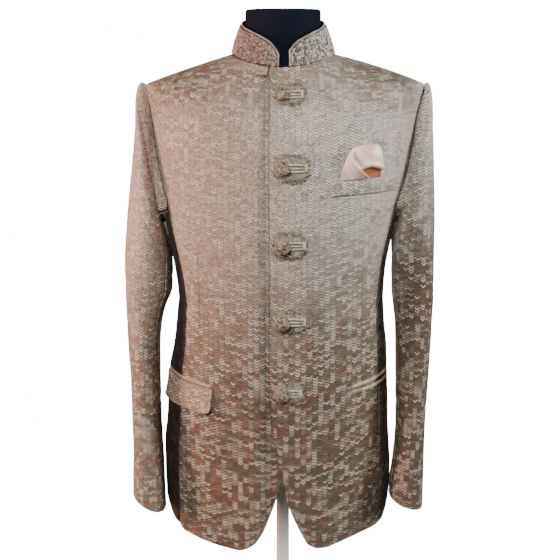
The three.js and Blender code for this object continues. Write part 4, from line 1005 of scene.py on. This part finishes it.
u, v = grid(61, 33)
deg = deg_on(-111, 433) * (1 - u) - 82 * u
corner = np.clip(1 - u / 0.19, 0, None)
depth = 43 - 13 * (1 - np.sqrt(clamp(1 - corner ** 2)))
z = 433 + 13.6 * u - depth * (1 - v) - 0.35
lifted = (1 - v) ** 2 * (6 * np.exp(-u * 6) + 1.2 + 3.5 * np.exp(-(1 - u) * 5))
wave = 0.7 * np.sin(u * 9 + 1) * (1 - v)
rim = np.minimum(np.minimum(v * 43, (1 - v) * 60), np.minimum(u, 1 - u) * 75)
high = 0.5 + 2.2 + lifted + wave - 0.9 * bell(rim, 0.9) - 0.35 * bell(rim - 5, 1.0)
outer, inner = applied(deg, z, high, LIFT)
inner = outer + unit(inner - outer) * 2.0
# A lighter, pinker copy of the suiting for the flap: painted light where the pink side light falls on it
lit_flap_suiting = jacquard("lit_flap_jacquard", ["#cbab97", "#a58774", "#fff2e4", "#f0e0cd", "#c2b9ad",
                                          "#65574a", "#a97c6a", "#8d8672"])
flap = cloth_piece("pocket_flap", "cloth", outer, inner, grain_of(outer, 5, 2), lit_flap_suiting)

# Closures: five embroidered patches with a border of couched loops, a thread-covered ball button
# on a shank, and a smooth cord that loops round the shank and is sewn down at its far end.
patch_ground = thread_material("patch_ground_thread", "#b8ad9b", "#94897a", "#bdb4a5", 260.0)
patch_silk = thread_material("patch_loop_silk", "#82765f", "#40372b", "#857a66", 160.0)
button_silk = thread_material("button_silk", "#b3a28d", "#5d5143", "#b5a994", 260.0)
cord_satin = thread_material("smooth_cord", "#d3c7ae", "#b8ab92", "#d8ceb6", 120.0)
# Height, left and right end, and how tall; mm
CLOSURES = [(888, -10.5, 33, 33), (782, -12, 39, 40), (665, -15.5, 36.5, 39), (545, -15.5, 38, 34),
            (431, -15.5, 32, 34)]


def front_spot(x, z, off):
    """Point off above the cloth of the left front, where x and height z are known."""
    h = ring_on(x, z)
    deg = deg_at_x(x, h)
    return body_point(deg, h) + body_normal(deg, h) * np.asarray(off)[..., None]


def lofted(name, rings, look, replaced):
    """A closed skin over rings of points in mm, which replaces a node."""
    rows, cols = rings.shape[:2]
    caps = [tuple(range(cols))[::-1], tuple(range((rows - 1) * cols, rows * cols))]
    made = mesh_object(name, rings.reshape(-1, 3) / 1000, ring_faces(rows, cols) + caps, look)
    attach(made, "root")
    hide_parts(replaced)
    return made


def patch_edge(turn, wide, tall):
    """Scalloped outline of a patch, in mm from its middle."""
    scallop = 1 + 0.07 * cosd(10 * turn)
    p = oval(turn, wide, tall, 3.2, 0 * turn)
    return p[..., 0] * scallop, p[..., 1] * scallop


for number, (mid_z, left, right, tall) in enumerate(CLOSURES, 1):
    mid_x = (left + right) / 2
    turn, share = np.meshgrid(np.linspace(0, 360, 73)[:-1], np.linspace(0.02, 1, 7))
    dx, dz = patch_edge(turn, (right - left) / 2, tall / 2)
    top = 2.0 - 0.9 * bell(1 - share, 0.1)
    p = front_spot(mid_x + dx * share, mid_z + dz * share, top)
    q = front_spot(mid_x + dx * share, mid_z + dz * share, LIFT + 0 * share)
    patch = lofted("patch_ground_%d" % number, np.concatenate([p, q[::-1]]), patch_ground,
                   "patch_%d" % number)

    spots_u, spots_v = [], []
    for ring, step in ((1.0, 4.6), (0.8, 6.0), (0.5, 7.0)):
        around = np.arange(0, 360, step * DEG_PER_RAD / (tall / 2 * ring) / 1.3)
        dx, dz = patch_edge(around, (right - left) / 2 * ring, tall / 2 * ring)
        spots_u.append(mid_x + dx)
        spots_v.append(mid_z + dz)
    su, sv = np.concatenate(spots_u), np.concatenate(spots_v)
    ones = np.ones(len(su))
    paths, ups = curls(front_spot, su, sv, ones, ones, 2.3, 2.3, turns=0.9, steps=10)
    loops = threads("patch_thread_loops_%d" % number, paths, ups, 0.55, patch_silk, "embroidery")

    seat = front_spot(np.array(0.0), np.array(float(mid_z)), np.array(2.4))
    up = unit(front_spot(np.array(0.0), np.array(float(mid_z)), np.array(6.0)) - seat)
    across = unit(np.cross([0, 0, 1], up)) * 1.0
    rise = np.cross(up, across)

    def at_seat(x, z, off):
        return seat + np.multiply.outer(x, across) + np.multiply.outer(z, rise) + np.multiply.outer(off, up)

    knob = 13.5 if number > 1 else 10.5
    radius = 10.6 if number > 2 else 9.8
    turn, lat = np.meshgrid(np.radians(np.arange(0, 360, 360 / 48)), np.radians(np.linspace(-62, 90, 20)))
    ball_r = radius * np.cos(lat)
    ball_up = (knob + 2.6) / 2 + np.sin(lat) * (knob - 2.6) / 2
    dimple = 0.5 * np.sin(turn * 12 + lat * 6) * np.cos(lat) * 0.5
    p = at_seat((ball_r + dimple) * np.cos(turn), (ball_r + dimple) * np.sin(turn), ball_up)
    shank = at_seat(3.4 * np.cos(turn[:2]), 3.4 * np.sin(turn[:2]), np.array([[0.1], [3.0]]) + 0 * turn[:2])
    lofted("button_ball_%d" % number, np.concatenate([shank, p]), button_silk,
           "button_%d" % number)

    golden = np.arange(130) * 2.39996
    lat = np.arcsin(np.linspace(-0.35, 0.995, len(golden)))

    def on_ball(a, b, off):
        b = np.clip(b, -0.9, 1.57)
        r = (radius + off) * np.cos(b)
        return at_seat(r * np.cos(a), r * np.sin(a), (knob + 2.6) / 2 + np.sin(b) * ((knob - 2.6) / 2 + off))

    paths, ups = curls(on_ball, golden, lat, 1 / (radius * np.maximum(np.cos(lat), 0.2)),
                       1 / radius + 0 * lat, 1.25, 0.3, turns=0.8, steps=8)
    threads("button_thread_loops_%d" % number, paths, ups, 0.42, button_silk, "embroidery")

    reach, wrap = right - 5, 3.4 + 1.35 + 0.5
    route = [(reach, 4.2, 0.1), (reach * 0.6, 5, 0.4), (wrap * 0.9, wrap, 0.15), (0, wrap + 0.1, 0.1),
             (-wrap * 0.75, wrap * 0.72, 0.1), (-wrap, 0, 0.1), (-wrap * 0.75, -wrap * 0.72, 0.1),
             (0, -wrap - 0.1, 0.1), (wrap * 0.9, -wrap, 0.15), (reach * 0.6, -5, 0.4), (reach, -4.2, 0.1)]
    route = np.array(route, float)
    t = np.linspace(0, 10, 61)
    smooth = np.stack([curve(np.arange(11), route[:, k])(t) for k in range(3)], -1)
    cord_line = at_seat(smooth[:, 0], smooth[:, 1], smooth[:, 2] + 1.35)
    cord = threads("loop_cord_%d" % number, cord_line[None], np.broadcast_to(up, (1, 61, 3)), 1.3,
                   cord_satin, "plain_cloth", sides=8, taper=0.9)
    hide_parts("loop_%d" % number)
    bars = [at_seat(np.linspace(wrap + 2, reach, 8), np.zeros(8), np.full(8, 1.5))]
    span = np.linspace(-1, 1, 8)
    for x in (reach - 0.6, reach + 1.2):
        bars.append(at_seat(np.full(8, x), 6.4 * span, 2.6 - 1.6 * span ** 4))
    threads("cord_ends_%d" % number, np.stack(bars), np.broadcast_to(up, (3, 8, 3)), 1.15, cord_satin,
            "plain_cloth", sides=6, taper=0.7)

# Dress form, pole and base: a hard moulded torso under a dark knitted cover, its neck capped
# flat, on an enamelled steel pole screwed into a round steel base.
jersey, tree, shader = material("dark_jersey_cover", {"Base Color": linear("#070c1d"), "Roughness": 0.85,
                                                      "Specular IOR Level": 0.15})
relief(tree, shader, noise(tree, in_object(tree), 900.0), 0.3, 0.0003)
# Rings of the neck: height, half width, front and back depth, fall at the front and the back
FORM_NECK = [(947, 74.5, 74.5, 56, 19, -14), (951.5, 69.5, 71.5, 53, 17, -12), (958, 64.5, 69, 50, 14, -9),
             (968, 61, 67, 48, 10, -6), (985, 59.3, 66, 47, 4, -2), (1010, 59, 65, 46.5, 0, 0),
             (1014.6, 58, 64, 45.5, 0, 0), (1016, 55, 61, 42.5, 0, 0)]
round_deg = np.arange(0, 360, 360 / ROUND)


def form_ring(h, extra):
    """A ring of the form: the jacket's own, 8 mm further in, and 3.6 mm on the shoulders."""
    on_shoulder = ease(clamp((h - 880) / 32)) * np.abs(sind(round_deg)) ** 1.5
    clear = 8 + (3.6 - 8) * on_shoulder + extra
    height = np.full(ROUND, float(h))
    return body_point(round_deg, height) - body_normal(round_deg, height) * clear[:, None]


rings = []
for inset, z in ((12, 291), (6, 291.8), (3, 293)):
    rings.append(np.concatenate([form_ring(299, inset)[:, :2], np.full((ROUND, 1), float(z))], -1))
for h in [299, 320] + list(range(345, 900, 15)) + [904, 914, 928, 940]:
    rings.append(form_ring(h, 0))
c = cosd(round_deg)
for z, half, front, back, front_drop, back_drop in FORM_NECK:
    rings.append(oval(round_deg, half, np.where(c > 0, front, back), 2.02,
                      z - np.where(c > 0, front_drop, back_drop) * c * c))
lofted("covered_form", np.stack(rings), jersey, "dress_form")

enamel, tree, shader = material("white_stoved_enamel", {"Base Color": linear("#f2f1ee"), "Roughness": 0.35})
relief(tree, shader, noise(tree, in_object(tree), 300.0), 0.08, 0.0002)
for name in ("form_pole", "stand_base"):
    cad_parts[name].material_slots[0].material = enamel
